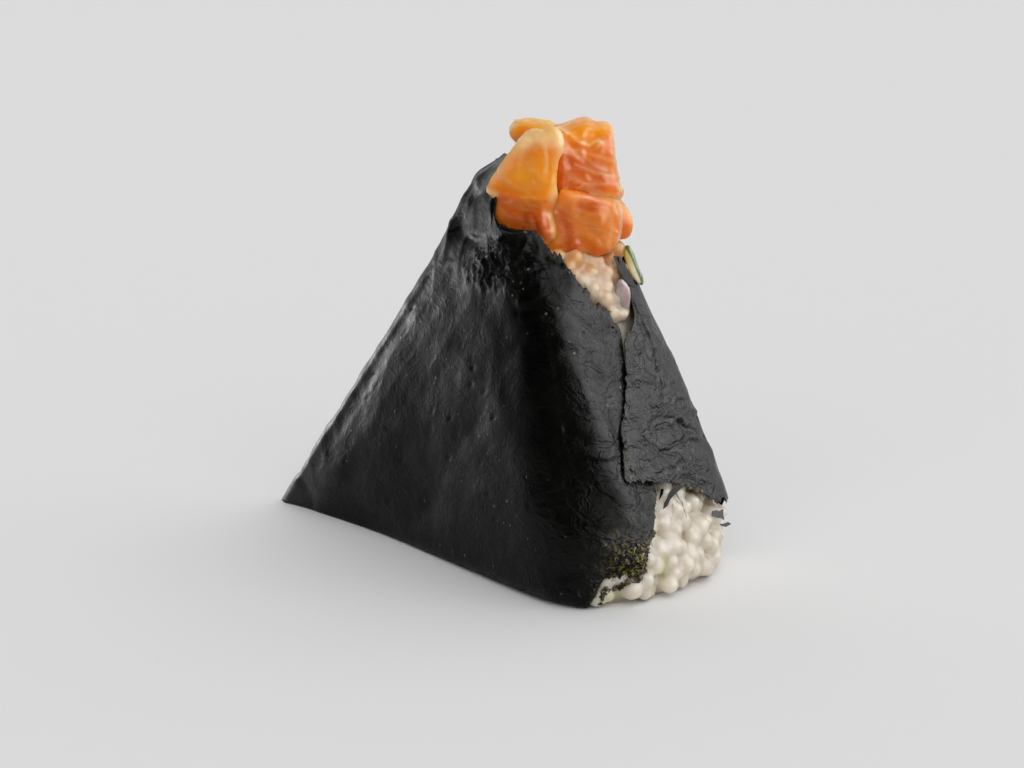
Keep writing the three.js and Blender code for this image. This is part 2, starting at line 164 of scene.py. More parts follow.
def between(a, b, c, d, v):
    """Rises from 0 to 1 between a and b, and falls back to 0 between c and d."""
    return smoothstep(a, b, v) * (1 - smoothstep(c, d, v))


def half_section(z):
    """Distances from the thin edge, the middle line and the half thickness at height z."""
    rise = z / APEX_Z
    bow = math.sin(math.pi * rise)
    thin = THIN_X + (APEX_X - THIN_X) * rise + 0.8 * bow
    tuck = 3 * (1 - float(smoothstep(0, 14, z)))
    thick = THICK_X + (APEX_X - THICK_X) * rise - tuck + 1.5 * bow
    length = thick - thin
    below = max(BASE_ROUND - z, 0)
    rounding = BASE_ROUND - math.sqrt(BASE_ROUND ** 2 - below ** 2)
    half = np.interp(z, *HALF_THICKNESS) - rounding
    reach = min(CORNER_ROUND, length * 0.6)
    ear = EAR_LENGTH * length
    turn = np.sin(np.linspace(0, math.pi / 2, 60)) ** (2 / 3)
    d = np.concatenate([
        3 * np.linspace(0, 1, 16) ** 2,
        np.linspace(3, length - reach, 120)[1:-1],
        length - reach + reach * turn,
    ])
    fold = EAR_SHARE * np.minimum(1, np.sqrt(d / 3)) * (1 - smoothstep(ear / 2, ear * 3, d))
    ramp = np.clip((d - ear) / (length - ear - reach / 2), 0, 1) ** 0.9
    end = np.clip((d - (length - reach)) / reach, 0, 1)
    share = np.minimum(1, fold + ramp) * np.maximum(1 - end ** 3, 0) ** (1 / 2.2)
    start_y = THIN_Y * (1 - rise) + APEX_Y * rise
    middle = start_y * (1 - d / length) + APEX_Y * rise * d / length
    return thin + d, middle, half * share


def section_row(z):
    """x, y and the length of one side of the section at height z, at every p of the grid."""
    x, middle, half = half_section(z)
    row_x, row_y = [], []
    for side, grid in ((-1, P_GRID[P_GRID < 0]), (1, P_GRID[P_GRID >= 0])):
        y = middle + side * half
        run = np.concatenate([[0], np.cumsum(np.hypot(np.diff(x), np.diff(y)))])
        row_x.append(np.interp(np.abs(grid) * run[-1], run, x))
        row_y.append(np.interp(np.abs(grid) * run[-1], run, y))
    return np.concatenate(row_x), np.concatenate(row_y), run[-1]


def eased(table, reach=0.07):
    """Rounds the corners of every section: a weighted mean along p, except at the fold."""
    middle = (len(P_GRID) - 1) // 2
    wide = int(3 * reach / (P_GRID[1] - P_GRID[0]))
    weights = np.exp(-0.5 * (np.arange(-wide, wide + 1) / (wide / 3)) ** 2)
    weights /= weights.sum()
    near_corner = smoothstep(-0.99, -0.93, P_GRID) * smoothstep(0, 0.12, -P_GRID)
    share = near_corner + smoothstep(0, 0.12, P_GRID) * (1 - smoothstep(0.4, 0.6, P_GRID))
    front, back = table[:, middle::-1], table[:, middle:]
    out = table.copy()
    halves = slice(middle, None, -1), slice(middle, None)
    for side, other, place in zip((front, back), (back, front), halves):
        before = 2 * side[:, :1] - side[:, wide:0:-1]
        after = other[:, -2:-wide - 2:-1]
        run = np.concatenate([before, side, after], 1)
        mean = np.array([np.convolve(row, weights, "valid") for row in run])
        out[:, place] = side + (mean - side) * share[place]
    return out


SECTIONS = [section_row(z) for z in Z_GRID]
TABLE_X = eased(np.array([row[0] for row in SECTIONS]))
TABLE_Y = eased(np.array([row[1] for row in SECTIONS]))
SIDE_LENGTH = np.array([row[2] for row in SECTIONS])


def body_point(p, z):
    """x and y of the body's outside at p and z, for whole arrays at once."""
    p = (np.asarray(p, float) + 1) % 2 - 1
    z = np.clip(np.asarray(z, float), 0, Z_GRID[-1])
    i = np.clip(np.searchsorted(Z_GRID, z) - 1, 0, len(Z_GRID) - 2)
    u = (z - Z_GRID[i]) / (Z_GRID[i + 1] - Z_GRID[i])
    g = (p + 1) / 2 * (len(P_GRID) - 1)
    j = np.clip(g.astype(int), 0, len(P_GRID) - 2)
    v = g - j
    out = []
    for table in (TABLE_X, TABLE_Y):
        low = table[i, j] * (1 - v) + table[i, j + 1] * v
        high = table[i + 1, j] * (1 - v) + table[i + 1, j + 1] * v
        out.append(low * (1 - u) + high * u)
    return out


def body_outward(p, z):
    """The outward direction in plan."""
    x0, y0 = body_point(np.asarray(p) - 0.008, z)
    x1, y1 = body_point(np.asarray(p) + 0.008, z)
    size = np.maximum(np.hypot(x1 - x0, y1 - y0), 1e-9)
    return -(y1 - y0) / size, (x1 - x0) / size


def side_length(z):
    return np.interp(z, Z_GRID, SIDE_LENGTH)


print("sections:", len(Z_GRID), "levels; one side at the base is",
      round(float(side_length(0)), 1), "mm long")

# %% [markdown]
# ## Helpers for meshes
# Most pieces are grids of points, made as numpy arrays and turned into a mesh once at the
# end. That is far quicker than adding vertices one by one. Noise comes from Blender's own
# mathutils.noise, read at the point's place in millimetres, so it never slides or repeats.

# %% Mesh helpers
def plain_object(name, points, faces):
    """An object from points in mm."""
    mesh = bpy.data.meshes.new(name)
    mesh.from_pydata((np.asarray(points) * MM).tolist(), [], faces)
    mesh.update()
    made = bpy.data.objects.new(name, mesh)
    bpy.context.scene.collection.objects.link(made)
    return made


def mesh_object(name, points, faces, node_names=()):
    """A smooth piece that rides with the rice ball."""
    piece = plain_object(name, points, faces)
    piece.data.polygons.foreach_set("use_smooth", [True] * len(faces))
    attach(piece, "root")
    if node_names:
        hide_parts(*node_names)
    return piece


def add_value(piece, name, values):
    layer = piece.data.attributes.new(name, "FLOAT", "POINT")
    layer.data.foreach_set("value", np.asarray(values, np.float32))


def noise_at(points, size, seed=0.0, stretch=(1, 1, 1)):
    """Smooth noise, about -1 to 1, whose bumps are about size millimetres apart."""
    scaled = np.asarray(points, float) / (size * np.asarray(stretch, float)) + seed
    return np.array([noise.noise(Vector(q)) for q in scaled])


def ridges_at(points, size, seed=0.0, stretch=(1, 1, 1)):
    """Sharp creases: 1 on a crease, falling off quickly on both sides."""
    return (1 - np.abs(noise_at(points, size, seed, stretch)) * 2.2).clip(0, 1) ** 2


def grid_faces(index):
    """Quads of a grid of vertex numbers, as an array of rows of four."""
    corners = index[:-1, :-1], index[1:, :-1], index[1:, 1:], index[:-1, 1:]
    return np.stack([c.ravel() for c in corners], 1)


def joined(parts):
    points, faces, start = [], [], 0
    for part_points, part_faces in parts:
        points.append(part_points)
        faces += [[v + start for v in face] for face in part_faces]
        start += len(part_points)
    return np.concatenate(points), faces


def closed_sheet(outer, inner, faces):
    """Joins an outer and an inner skin with a wall along every open edge."""
    count = len(outer)
    edges = {}
    for face in faces:
        for a, b in zip(face, face[1:] + face[:1]):
            edges[(a, b)] = True
    walls = [(b, a, a + count, b + count) for a, b in edges if (b, a) not in edges]
    backs = [tuple(v + count for v in reversed(face)) for face in faces]
    return np.concatenate([outer, inner]), [tuple(f) for f in faces] + backs + walls


# %% [markdown]
# ## Nori: one sheet round the wedge
# The sheet starts behind the flap, passes round the thin edge and ends past the thick end,
# where it overlaps its own start: that edge is the seam. It could be sculpted or simulated,
# but a grid that follows the body and has its own lower border and rim gives the tear and
# the open top exactly, and its wrinkles are then only a small lift of each point.

# %% The sheet's borders
SHEET_START = ([17, 38, 44], [-0.978, -0.99, -1.02])
SHEET_END = ([17, 22, 29, 34, 42], [1.11, 1.102, 1.074, 1.04, 0.997])
LOWER_BORDER = np.array([
    (0, 17.6), (0.009, 14.2), (0.0165, 11.7), (0.026, 9.6), (0.03, 5.3), (0.045, 5.8),
    (0.063, 5.2), (0.068, 2.4), (0.077, 0), (0.828, 0), (0.834, 5), (0.848, 11.6),
    (0.87, 12.8), (0.89, 13.6), (0.905, 15.1), (0.92, 17.3), (0.945, 19.2), (0.974, 20.4),
    (0.994, 20.9), (1, 22),
])
RIM = np.array([
    (0, 44.8), (0.013, 48.2), (0.035, 49.4), (0.0416, 51.4), (0.077, 57), (0.104, 59.3),
    (0.128, 62.2), (0.175, 62.6), (0.228, 63.0), (0.25, 64.0), (0.262, 65.6), (0.27, 68.4),
    (0.28, 70.4), (0.3, 72.4), (0.325, 73.6), (0.36, 74.1), (0.4, 73.8), (0.459, 73.4),
    (0.52, 73.2), (0.582, 72), (0.68, 68), (0.8, 62.5), (0.85, 57.5), (0.895, 50.6),
    (0.914, 50.8), (0.926, 55.2), (0.9435, 55.8), (0.95, 49.2), (0.96, 45.8), (0.985, 43.8),
    (1, 42.4),
])
SHARE_STOPS = [0, 0.1, 0.48, 0.86, 1]
COLUMN_STOPS = [0, 66, 204, 272, 336]
SHEET_ROWS = 126
BASE_ROWS = [0, 0.004, 0.009, 0.016, 0.025, 0.037]
NORI_THICK, NORI_THIN = 0.35, 0.14  # in the middle of the sheet, and at its torn borders
SHEET_LENGTH = 235


def ragged(at, size, seed):
    """Uneven tearing along a border, about -1 to 1."""
    steps = [noise.fractal(Vector((v * SHEET_LENGTH / size, seed, 0)), 0.5, 2.2, 4) for v in at]
    return np.array(steps)


share = np.interp(np.arange(COLUMN_STOPS[-1] + 1), COLUMN_STOPS, SHARE_STOPS)
low_edge = np.interp(share, LOWER_BORDER[:, 0], LOWER_BORDER[:, 1])
torn = low_edge > 0
low_edge = low_edge + 0.75 * ragged(share, 2.6, 3.3) + 0.4 * ragged(share, 0.9, 6.1)
low_edge = np.where(torn, np.maximum(low_edge, 0.05), 0)
rim_rough = 0.75 - 0.55 * between(0.1, 0.14, 0.55, 0.6, share)
rim_rough += 0.45 * (1 - smoothstep(0.09, 0.12, share))
rim_edge = np.interp(share, RIM[:, 0], RIM[:, 1]) + rim_rough * ragged(share, 2.2, 8.1)
rows = np.concatenate([BASE_ROWS, np.linspace(0.052, 1, SHEET_ROWS - len(BASE_ROWS))])
sheet_z = low_edge[:, None] + (rim_edge - low_edge)[:, None] * rows[None, :]
strayed = [0.5 * noise.fractal(Vector((z / 4, 2.7, 0)), 0.5, 2.2, 6) for z in sheet_z.ravel()]
strayed = np.reshape(strayed, sheet_z.shape) / side_length(sheet_z)
start_p = np.interp(sheet_z, *SHEET_START)
end_p = np.interp(sheet_z, *SHEET_END) + strayed
sheet_p = start_p + (end_p - start_p) * share[:, None]
columns, per_column = sheet_z.shape
print("nori grid:", columns, "columns of", per_column)

# %% [markdown]
# Rice shows through the sheet as low bumps everywhere. Sharp creases gather by the rim, along
# the folded edge and on the flap, and a few large ones have their own places: a corner folded
# over below the tip, the crumpled band under it, and dents beside the seam.

# %% Wrinkles
flat_p, flat_z = sheet_p.ravel(), sheet_z.ravel()
flat_share, flat_low, flat_rim, flat_torn = (
    np.repeat(value, per_column) for value in (share, low_edge, rim_edge, torn))
base_x, base_y = body_point(flat_p, flat_z)
out_x, out_y = body_outward(flat_p, flat_z)
base = np.stack([base_x, base_y, flat_z], 1)
place = picture_place(base)

off_floor = smoothstep(0, 6, flat_z)
near_rim = smoothstep(44, 60, flat_z)
on_flap = smoothstep(0.80, 0.9, flat_p)
by_fold = 1 - smoothstep(0.05, 0.22, np.abs(flat_p))
calm = (1 - smoothstep(-0.97, -0.91, flat_p)) * (flat_z > 15)
front = (flat_share < 0.49).astype(float)
flap = (flat_share > 0.86).astype(float)

FOLDED_CORNER = [(452, 231), (470, 208), (489, 189), (495, 206), (502, 224), (511, 229),
                 (536, 229), (536, 235), (510, 239), (484, 238)]
FRONT_CREASES = [  # line, width in pixels, height in mm
    ([(452, 234), (462, 212), (472, 192), (484, 172)], 9, 0.7),
    ([(478, 182), (484, 172), (492, 163)], 3, 0.4),
    ([(470, 196), (477, 182), (484, 168)], 3, -0.35),
    ([(455, 226), (468, 238), (482, 246)], 3, -0.25),
    ([(440, 262), (450, 240), (455, 222)], 4, 0.35),
    ([(430, 272), (446, 262), (458, 262)], 3, 0.3),
    ([(486, 262), (496, 250), (503, 240)], 2.6, 0.75),
    ([(492, 274), (506, 262), (516, 256)], 2.6, -0.6),
    ([(484, 282), (500, 276), (520, 272), (540, 276)], 3, 0.6),
    ([(512, 264), (522, 252), (528, 240)], 2.6, 0.7),
    ([(524, 276), (538, 266), (552, 262)], 3, -0.5),
    ([(530, 258), (544, 254), (556, 262)], 3, 0.6),
    ([(520, 302), (540, 296), (560, 304)], 3.5, 0.5),
    ([(516, 312), (536, 310), (552, 318)], 3, -0.4),
    ([(556, 290), (576, 312), (590, 322)], 4, 0.5),
    ([(566, 352), (582, 362), (596, 376)], 6, -0.6),
    ([(560, 338), (576, 344), (590, 348)], 5, 0.35),
    ([(600, 330), (610, 350), (613, 380)], 6, 0.3),
    ([(586, 405), (600, 420), (608, 446)], 6, 0.4),
    ([(568, 430), (584, 442), (600, 446)], 5, -0.4),
    ([(583, 452), (600, 456), (614, 452)], 3, 0.55),
    ([(604, 486), (622, 500), (640, 504)], 6, 0.4),
    ([(600, 524), (618, 516), (634, 524)], 5, 0.3),
    ([(560, 585), (580, 580), (598, 570)], 5, 0.25),
    ([(545, 598), (562, 592), (576, 594)], 2.6, 0.45),
    ([(298, 470), (306, 486), (312, 506)], 3, -0.4),
]
FLAP_CREASES = [
    ([(660, 425), (680, 408), (700, 412)], 3, 0.4),
    ([(656, 446), (676, 432), (700, 440), (712, 458)], 3, 0.5),
    ([(672, 420), (681, 431), (676, 441)], 1.8, -0.7),
    ([(695, 418), (704, 424), (706, 434), (698, 440)], 2.5, -0.6),
    ([(650, 468), (672, 456), (700, 466)], 4, 0.4),
    ([(640, 440), (652, 452), (664, 452)], 3, -0.4),
    ([(646, 404), (664, 396), (682, 396)], 3, 0.35),
    ([(668, 352), (676, 372), (682, 390)], 4, 0.3),
    ([(640, 350), (642, 372), (640, 392)], 4, -0.25),
    ([(652, 412), (672, 416), (690, 428)], 2.6, 0.4),
    ([(664, 474), (684, 470), (706, 482)], 3, 0.35),
    ([(636, 470), (650, 478), (668, 478)], 3, 0.3),
]
PITS = [  # small dents, by where they are seen
    (377, 374), (383, 384), (408, 332), (414, 309), (474, 384), (476, 368), (485, 391),
    (454, 417), (450, 457), (407, 459), (394, 500), (489, 494), (495, 519), (529, 505),
    (352, 459), (340, 408), (353, 403), (345, 485), (493, 418), (372, 398), (438, 410),
    (643, 316), (636, 355), (661, 357), (672, 363), (648, 380), (702, 462), (690, 398),
]

bumps = 0.2 * noise_at(base, 5.0, 0.0, (1.5, 1, 0.9)) + 0.34 * noise_at(base, 12, 3.7)
creases = 0.3 * ridges_at(base, 8, 1.3) * near_rim
creases += 0.3 * ridges_at(base, 6, 5.1, (1, 1, 0.6)) * on_flap
creases += 0.2 * ridges_at(base, 5, 9.4, (1.2, 1, 2.0)) * by_fold
creases += 0.05 * noise_at(base, 2.2, 4.4)
creases += 0.16 * noise_at(base, 1.9, 6.3) * on_flap
relief = off_floor * (bumps + creases)
SIDE_BULGE = ([0, 2, 5, 10, 16, 24, 45], [-0.9, -0.3, 0.5, 1.4, 1.75, 1.65, 0.3])
from_fold = np.abs(flat_p) * side_length(flat_z)
relief += np.interp(from_fold, *SIDE_BULGE) * between(2, 9, 34, 68, flat_z)

KEEL_DOWN = [286, 310, 350, 400, 450, 500, 540, 580]
KEEL_ACROSS = [545, 553, 567, 586, 600, 618, 628, 632]
KEEL_RISE = ([-75, -40, -6, -1, 4, 22, 50], [0, 0.35, 1.35, 1.5, 1.3, 0.35, 0])
BROW_LINE = ([300, 350, 400, 450, 500], [474, 484, 492, 502, 520])
BROW_HOLLOW = ([-6, 8, 50, 68, 92], [0, -0.17, -1.105, -1.02, 0])
across, down = place.T
wobble = 5 * noise_at(base, 9, 2.2) + 2.5 * noise_at(base, 3, 5.8)
past_keel = across - np.interp(down, KEEL_DOWN, KEEL_ACROSS) + wobble
keel = np.interp(past_keel, *KEEL_RISE) * between(270, 330, 550, 590, down)
past_brow = across - np.interp(down, *BROW_LINE)
brow = np.interp(past_brow, *BROW_HOLLOW) * between(240, 350, 470, 540, down)
relief += (keel + brow) * front

crumple = np.exp(-(((across - 512) / 44) ** 2 + ((down - 264) / 28) ** 2) ** 2) * front
relief += crumple * (0.6 * ridges_at(base, 3.6, 6.6) - 0.25 + 0.3 * ridges_at(base, 1.7, 1.9))
for lines, side in ((FRONT_CREASES, front), (FLAP_CREASES, flap)):
    for line, width, height in lines:
        relief += 0.75 * side * height * np.exp(-(from_line(place, line) / width) ** 2)
folded = smoothstep(-1.0, 3.5, towards_outline(place, FOLDED_CORNER)) * front
CORNER_RISE = ([450, 462, 478, 502], [-0.7, 0.1, 1.2, 0.4])
relief = relief * (1 - 0.85 * folded) + np.interp(across, *CORNER_RISE) * folded
for pit in PITS:
    relief -= 0.3 * (front + flap) * np.exp(-(from_line(place, [pit, pit]) / 1.7) ** 2)

FLAP_LIFT = 1.0
at_seam = smoothstep(0.955, 1, flat_share)
lift = relief * (1 - 0.6 * calm) - 0.15
lift += FLAP_LIFT * smoothstep(0.74, 0.92, flat_p)
lift -= 0.55 * at_seam * smoothstep(26, 31, flat_z)
curled_in = smoothstep(-4.5, 0, flat_z - flat_rim)
lift -= 1.1 * curled_in * between(0.24, 0.3, 0.6, 0.68, flat_share)
lift -= 0.8 * np.exp(-((flat_share - 0.28) / 0.02) ** 2) * smoothstep(67, 70, flat_z)
lift += 0.45 * at_seam * (1 - smoothstep(19, 27, flat_z))
print("relief from", round(float(relief.min()), 2), "to", round(float(relief.max()), 2), "mm")

# %% [markdown]
# The skin of points becomes a sheet of real thickness. A hole is torn through it by leaving
# quads out, and one wall function then closes every open edge: rim, seam, tear and hole.

# %% Build the sheet
outer = np.stack([base_x + out_x * lift, base_y + out_y * lift, flat_z], 1)
hood = between(0.25, 0.3, 0.5, 0.6, flat_share) * smoothstep(69, 75, flat_z)
outer = outer + VIEW_RIGHT * 2.2 * hood[:, None]
index = np.arange(columns * per_column).reshape(columns, per_column)


def grid_normals(grid):
    normal = np.cross(np.gradient(grid, axis=0), np.gradient(grid, axis=1))
    return normal / np.maximum(np.linalg.norm(normal, axis=2, keepdims=True), 1e-9)


outwards = np.stack([out_x, out_y, 0 * out_x], 1)
normals = grid_normals(outer.reshape(columns, per_column, 3)).reshape(-1, 3)
normals *= np.where((normals * outwards).sum(1, keepdims=True) < 0, -1, 1)
to_border = np.minimum.reduce([
    flat_z - flat_low + 50 * ~flat_torn, flat_rim - flat_z,
    flat_share * SHEET_LENGTH, (1 - flat_share) * SHEET_LENGTH,
])
thickness = NORI_THIN + (NORI_THICK - NORI_THIN) * smoothstep(0, 2, to_border)
inner = outer - normals * thickness[:, None]
standing = np.flatnonzero(~torn)
inner[:, 2] = np.where(outer[:, 2] < 1, np.maximum(inner[:, 2], 0.05), inner[:, 2])
inner[index[standing, 0], 2] = NORI_THICK

TORN_HOLES = [((635, 566), 6.5, 3.6, -25), ((627, 575), 2.4, 1.5, 30)]  # place, sizes, turn
quads = grid_faces(index)
middles = picture_place(outer[quads].mean(1))
kept = np.ones(len(quads), bool)
for hole_at, wide, high, turned in TORN_HOLES:
    angle = math.radians(turned)
    dx, dy = (middles - hole_at).T
    u = (dx * math.cos(angle) + dy * math.sin(angle)) / wide
    v = (dy * math.cos(angle) - dx * math.sin(angle)) / high
    kept &= ~((u * u + v * v < 1) & (flat_share[quads[:, 0]] < 0.1))
skin = [list(map(int, reversed(quad))) for quad in quads[kept]]

rim_low = [int(v) for v in index[standing, 0]]
TORN_STEPS = 18
torn_line = []
for i in range(1, TORN_STEPS):
    t = i / TORN_STEPS
    bay = 3.5 * math.sin(math.pi * t) + 1.2 * noise.noise(Vector((i * 0.9, 4, 0)))
    torn_line.append(outer[rim_low[-1]] * (1 - t) + outer[rim_low[0]] * t - [bay, 0, 0])
torn_line = np.array(torn_line) * [1, 1, 0]
torn_index = [len(outer) + i for i in range(len(torn_line))]
skin.append(rim_low + torn_index)
outer = np.concatenate([outer, torn_line])
inner = np.concatenate([inner, torn_line + [0, 0, NORI_THICK]])
first = skin[0]
first_normal = np.cross(outer[first[1]] - outer[first[0]], outer[first[2]] - outer[first[0]])
print("first quad looks outwards:", bool(first_normal @ outwards[first[0]] > 0))

nori_points, nori_faces = closed_sheet(outer, inner, skin)
nori = mesh_object("nori_sheet", nori_points, nori_faces, ["nori_wrap"])
nori_tree = BVHTree.FromPolygons(nori_points.tolist(), nori_faces)
print("nori:", len(nori.data.polygons), "faces, box", [round(v, 1) for v in nori.dimensions / MM])

# %% [markdown]
# The sheet isn't equally glossy or crinkled all over. It could be painted by hand, but values
# stored on its points do the same, follow its folds and can be read by the finish later on.

# %% Values stored on the sheet
BLACK_BAND = [
    (490, 244), (540, 230), (564, 254), (572, 284), (560, 312), (564, 345), (580, 395), (594, 440),
    (614, 490), (622, 524), (604, 540), (578, 530), (558, 500), (536, 462), (508, 440), (494, 400),
    (490, 350), (482, 310),
]
HOOD_SIDE = [(446, 232), (452, 212), (470, 178), (490, 156), (500, 160), (488, 186), (470, 206),
             (452, 231)]
DIM_SHOULDER = [(452, 246), (494, 244), (494, 352), (448, 352)]
TORN_CORNER, TORN_REACH = (628, 566), (20, 26)


def in_front(outline, a, b, stray=0):
    """1 within an outline of picture places on the front of the sheet, eased from a to b."""
    return smoothstep(a, b, towards_outline(place, outline) + stray) * front


frayed = np.exp(-(((place - TORN_CORNER) / TORN_REACH) ** 2).sum(1)) * front
near_seam = front * smoothstep(0.2, 0.06, flat_share)
by_rim = 1 - smoothstep(1, 6, flat_rim - flat_z)
past_band = smoothstep(0, 30, past_keel) * front
by_fold_low = front * (1 - smoothstep(2, 20, from_fold)) * (1 - smoothstep(44, 60, flat_z))
sheen = 0.62 + 0.07 * noise_at(base, 14, 8.3) + 0.09 * noise_at(base, 6, 2.9)
sheen += 0.4 * np.maximum.reduce([flap, 0.35 * near_seam, 0.35 * past_band]) + 1.7 * by_fold_low
sheen *= (1 - 0.62 * in_front(BLACK_BAND, -8, 8, 2 * wobble)) * (1 - 0.5 * folded)
sheen *= (1 + 1.5 * in_front(HOOD_SIDE, -5, 4)) * (1 - 0.7 * frayed)
sheen *= 1 - 0.5 * in_front(DIM_SHOULDER, -14, 12)
SHEET_VALUES = {
    "border": 1 - smoothstep(0, 1.6, to_border),
    "frayed": frayed,
    "crinkled": np.maximum.reduce([flap, crumple, 0.7 * near_seam, 0.5 * by_rim]).clip(0.16),
    "sheen": sheen,
}
for value_name, values in SHEET_VALUES.items():
    one_skin = np.concatenate([values, np.zeros(len(torn_line))])
    add_value(nori, value_name, np.concatenate([one_skin, one_skin]))
    print(value_name, "from", round(float(values.min()), 2), "to", round(float(values.max()), 2))

# %% [markdown]
# ## Salmon: five raw pieces
# Raw salmon is soft and wet, with pale fat between its muscle layers. A sculptor would push
# the masses about by hand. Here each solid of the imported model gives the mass: a copy of it
# is voxel-remeshed into fine even faces, smoothed until its facets are gone, and then layered
# with grooves and lines of fat along its own direction.

# %% Flesh helpers
def remeshed_object(copy, voxel):
    """Points in mm and faces of an object after a voxel remesh. The object is used up."""
    skin_modifier = copy.modifiers.new("skin", "REMESH")
    skin_modifier.mode = "VOXEL"
    skin_modifier.voxel_size = voxel * MM
    shaped = copy.evaluated_get(bpy.context.evaluated_depsgraph_get())
    mesh = bpy.data.meshes.new_from_object(shaped)
    points = np.zeros(len(mesh.vertices) * 3)
    mesh.vertices.foreach_get("co", points)
    faces = [list(polygon.vertices) for polygon in mesh.polygons]
    bpy.data.objects.remove(copy)
    bpy.data.meshes.remove(mesh)
    return points.reshape(-1, 3) / MM, faces


def remeshed(node_name, voxel):
    """A finely remeshed copy of a CAD solid."""
    copy = bpy.data.objects.new("mass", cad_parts[node_name].data.copy())
    bpy.context.scene.collection.objects.link(copy)
    return remeshed_object(copy, voxel)


def edge_pairs(faces):
    pairs = {(min(a, b), max(a, b)) for f in faces for a, b in zip(f, f[1:] + f[:1])}
    return np.array(sorted(pairs))


def neighbour_pull(points, pairs):
    """The way from each point to the middle of its neighbours."""
    a, b = pairs.T
    count = len(points)
    degree = np.bincount(pairs.ravel(), minlength=count)[:, None]
    total = [np.bincount(a, points[b, k], count) + np.bincount(b, points[a, k], count)
             for k in range(3)]
    return np.stack(total, 1) / degree - points


def smoothed(points, pairs, rounds):
    """Evens out a mesh without shrinking it: each pull inwards is followed by a push out."""
    for _ in range(rounds):
        for strength in (0.6, -0.61):
            points = points + strength * neighbour_pull(points, pairs)
    return points


def vertex_normals(points, faces):
    quads = np.array([f if len(f) == 4 else [*f, f[-1]] for f in faces])
    a, b, c, d = (points[quads[:, i]] for i in range(4))
    face_normal = np.cross(c - a, d - b)
    total = np.zeros_like(points)
    for i in range(4):
        np.add.at(total, quads[:, i], face_normal)
    return total / np.maximum(np.linalg.norm(total, axis=1, keepdims=True), 1e-12)


def strokes_at(places, facing, strokes):
    """The sum of soft strokes, each a line with a width in pixels and a strength."""
    total = np.zeros(len(places))
    for line, width, strength in strokes:
        total += strength * np.exp(-(from_line(places, line) / width) ** 2)
    return total * facing
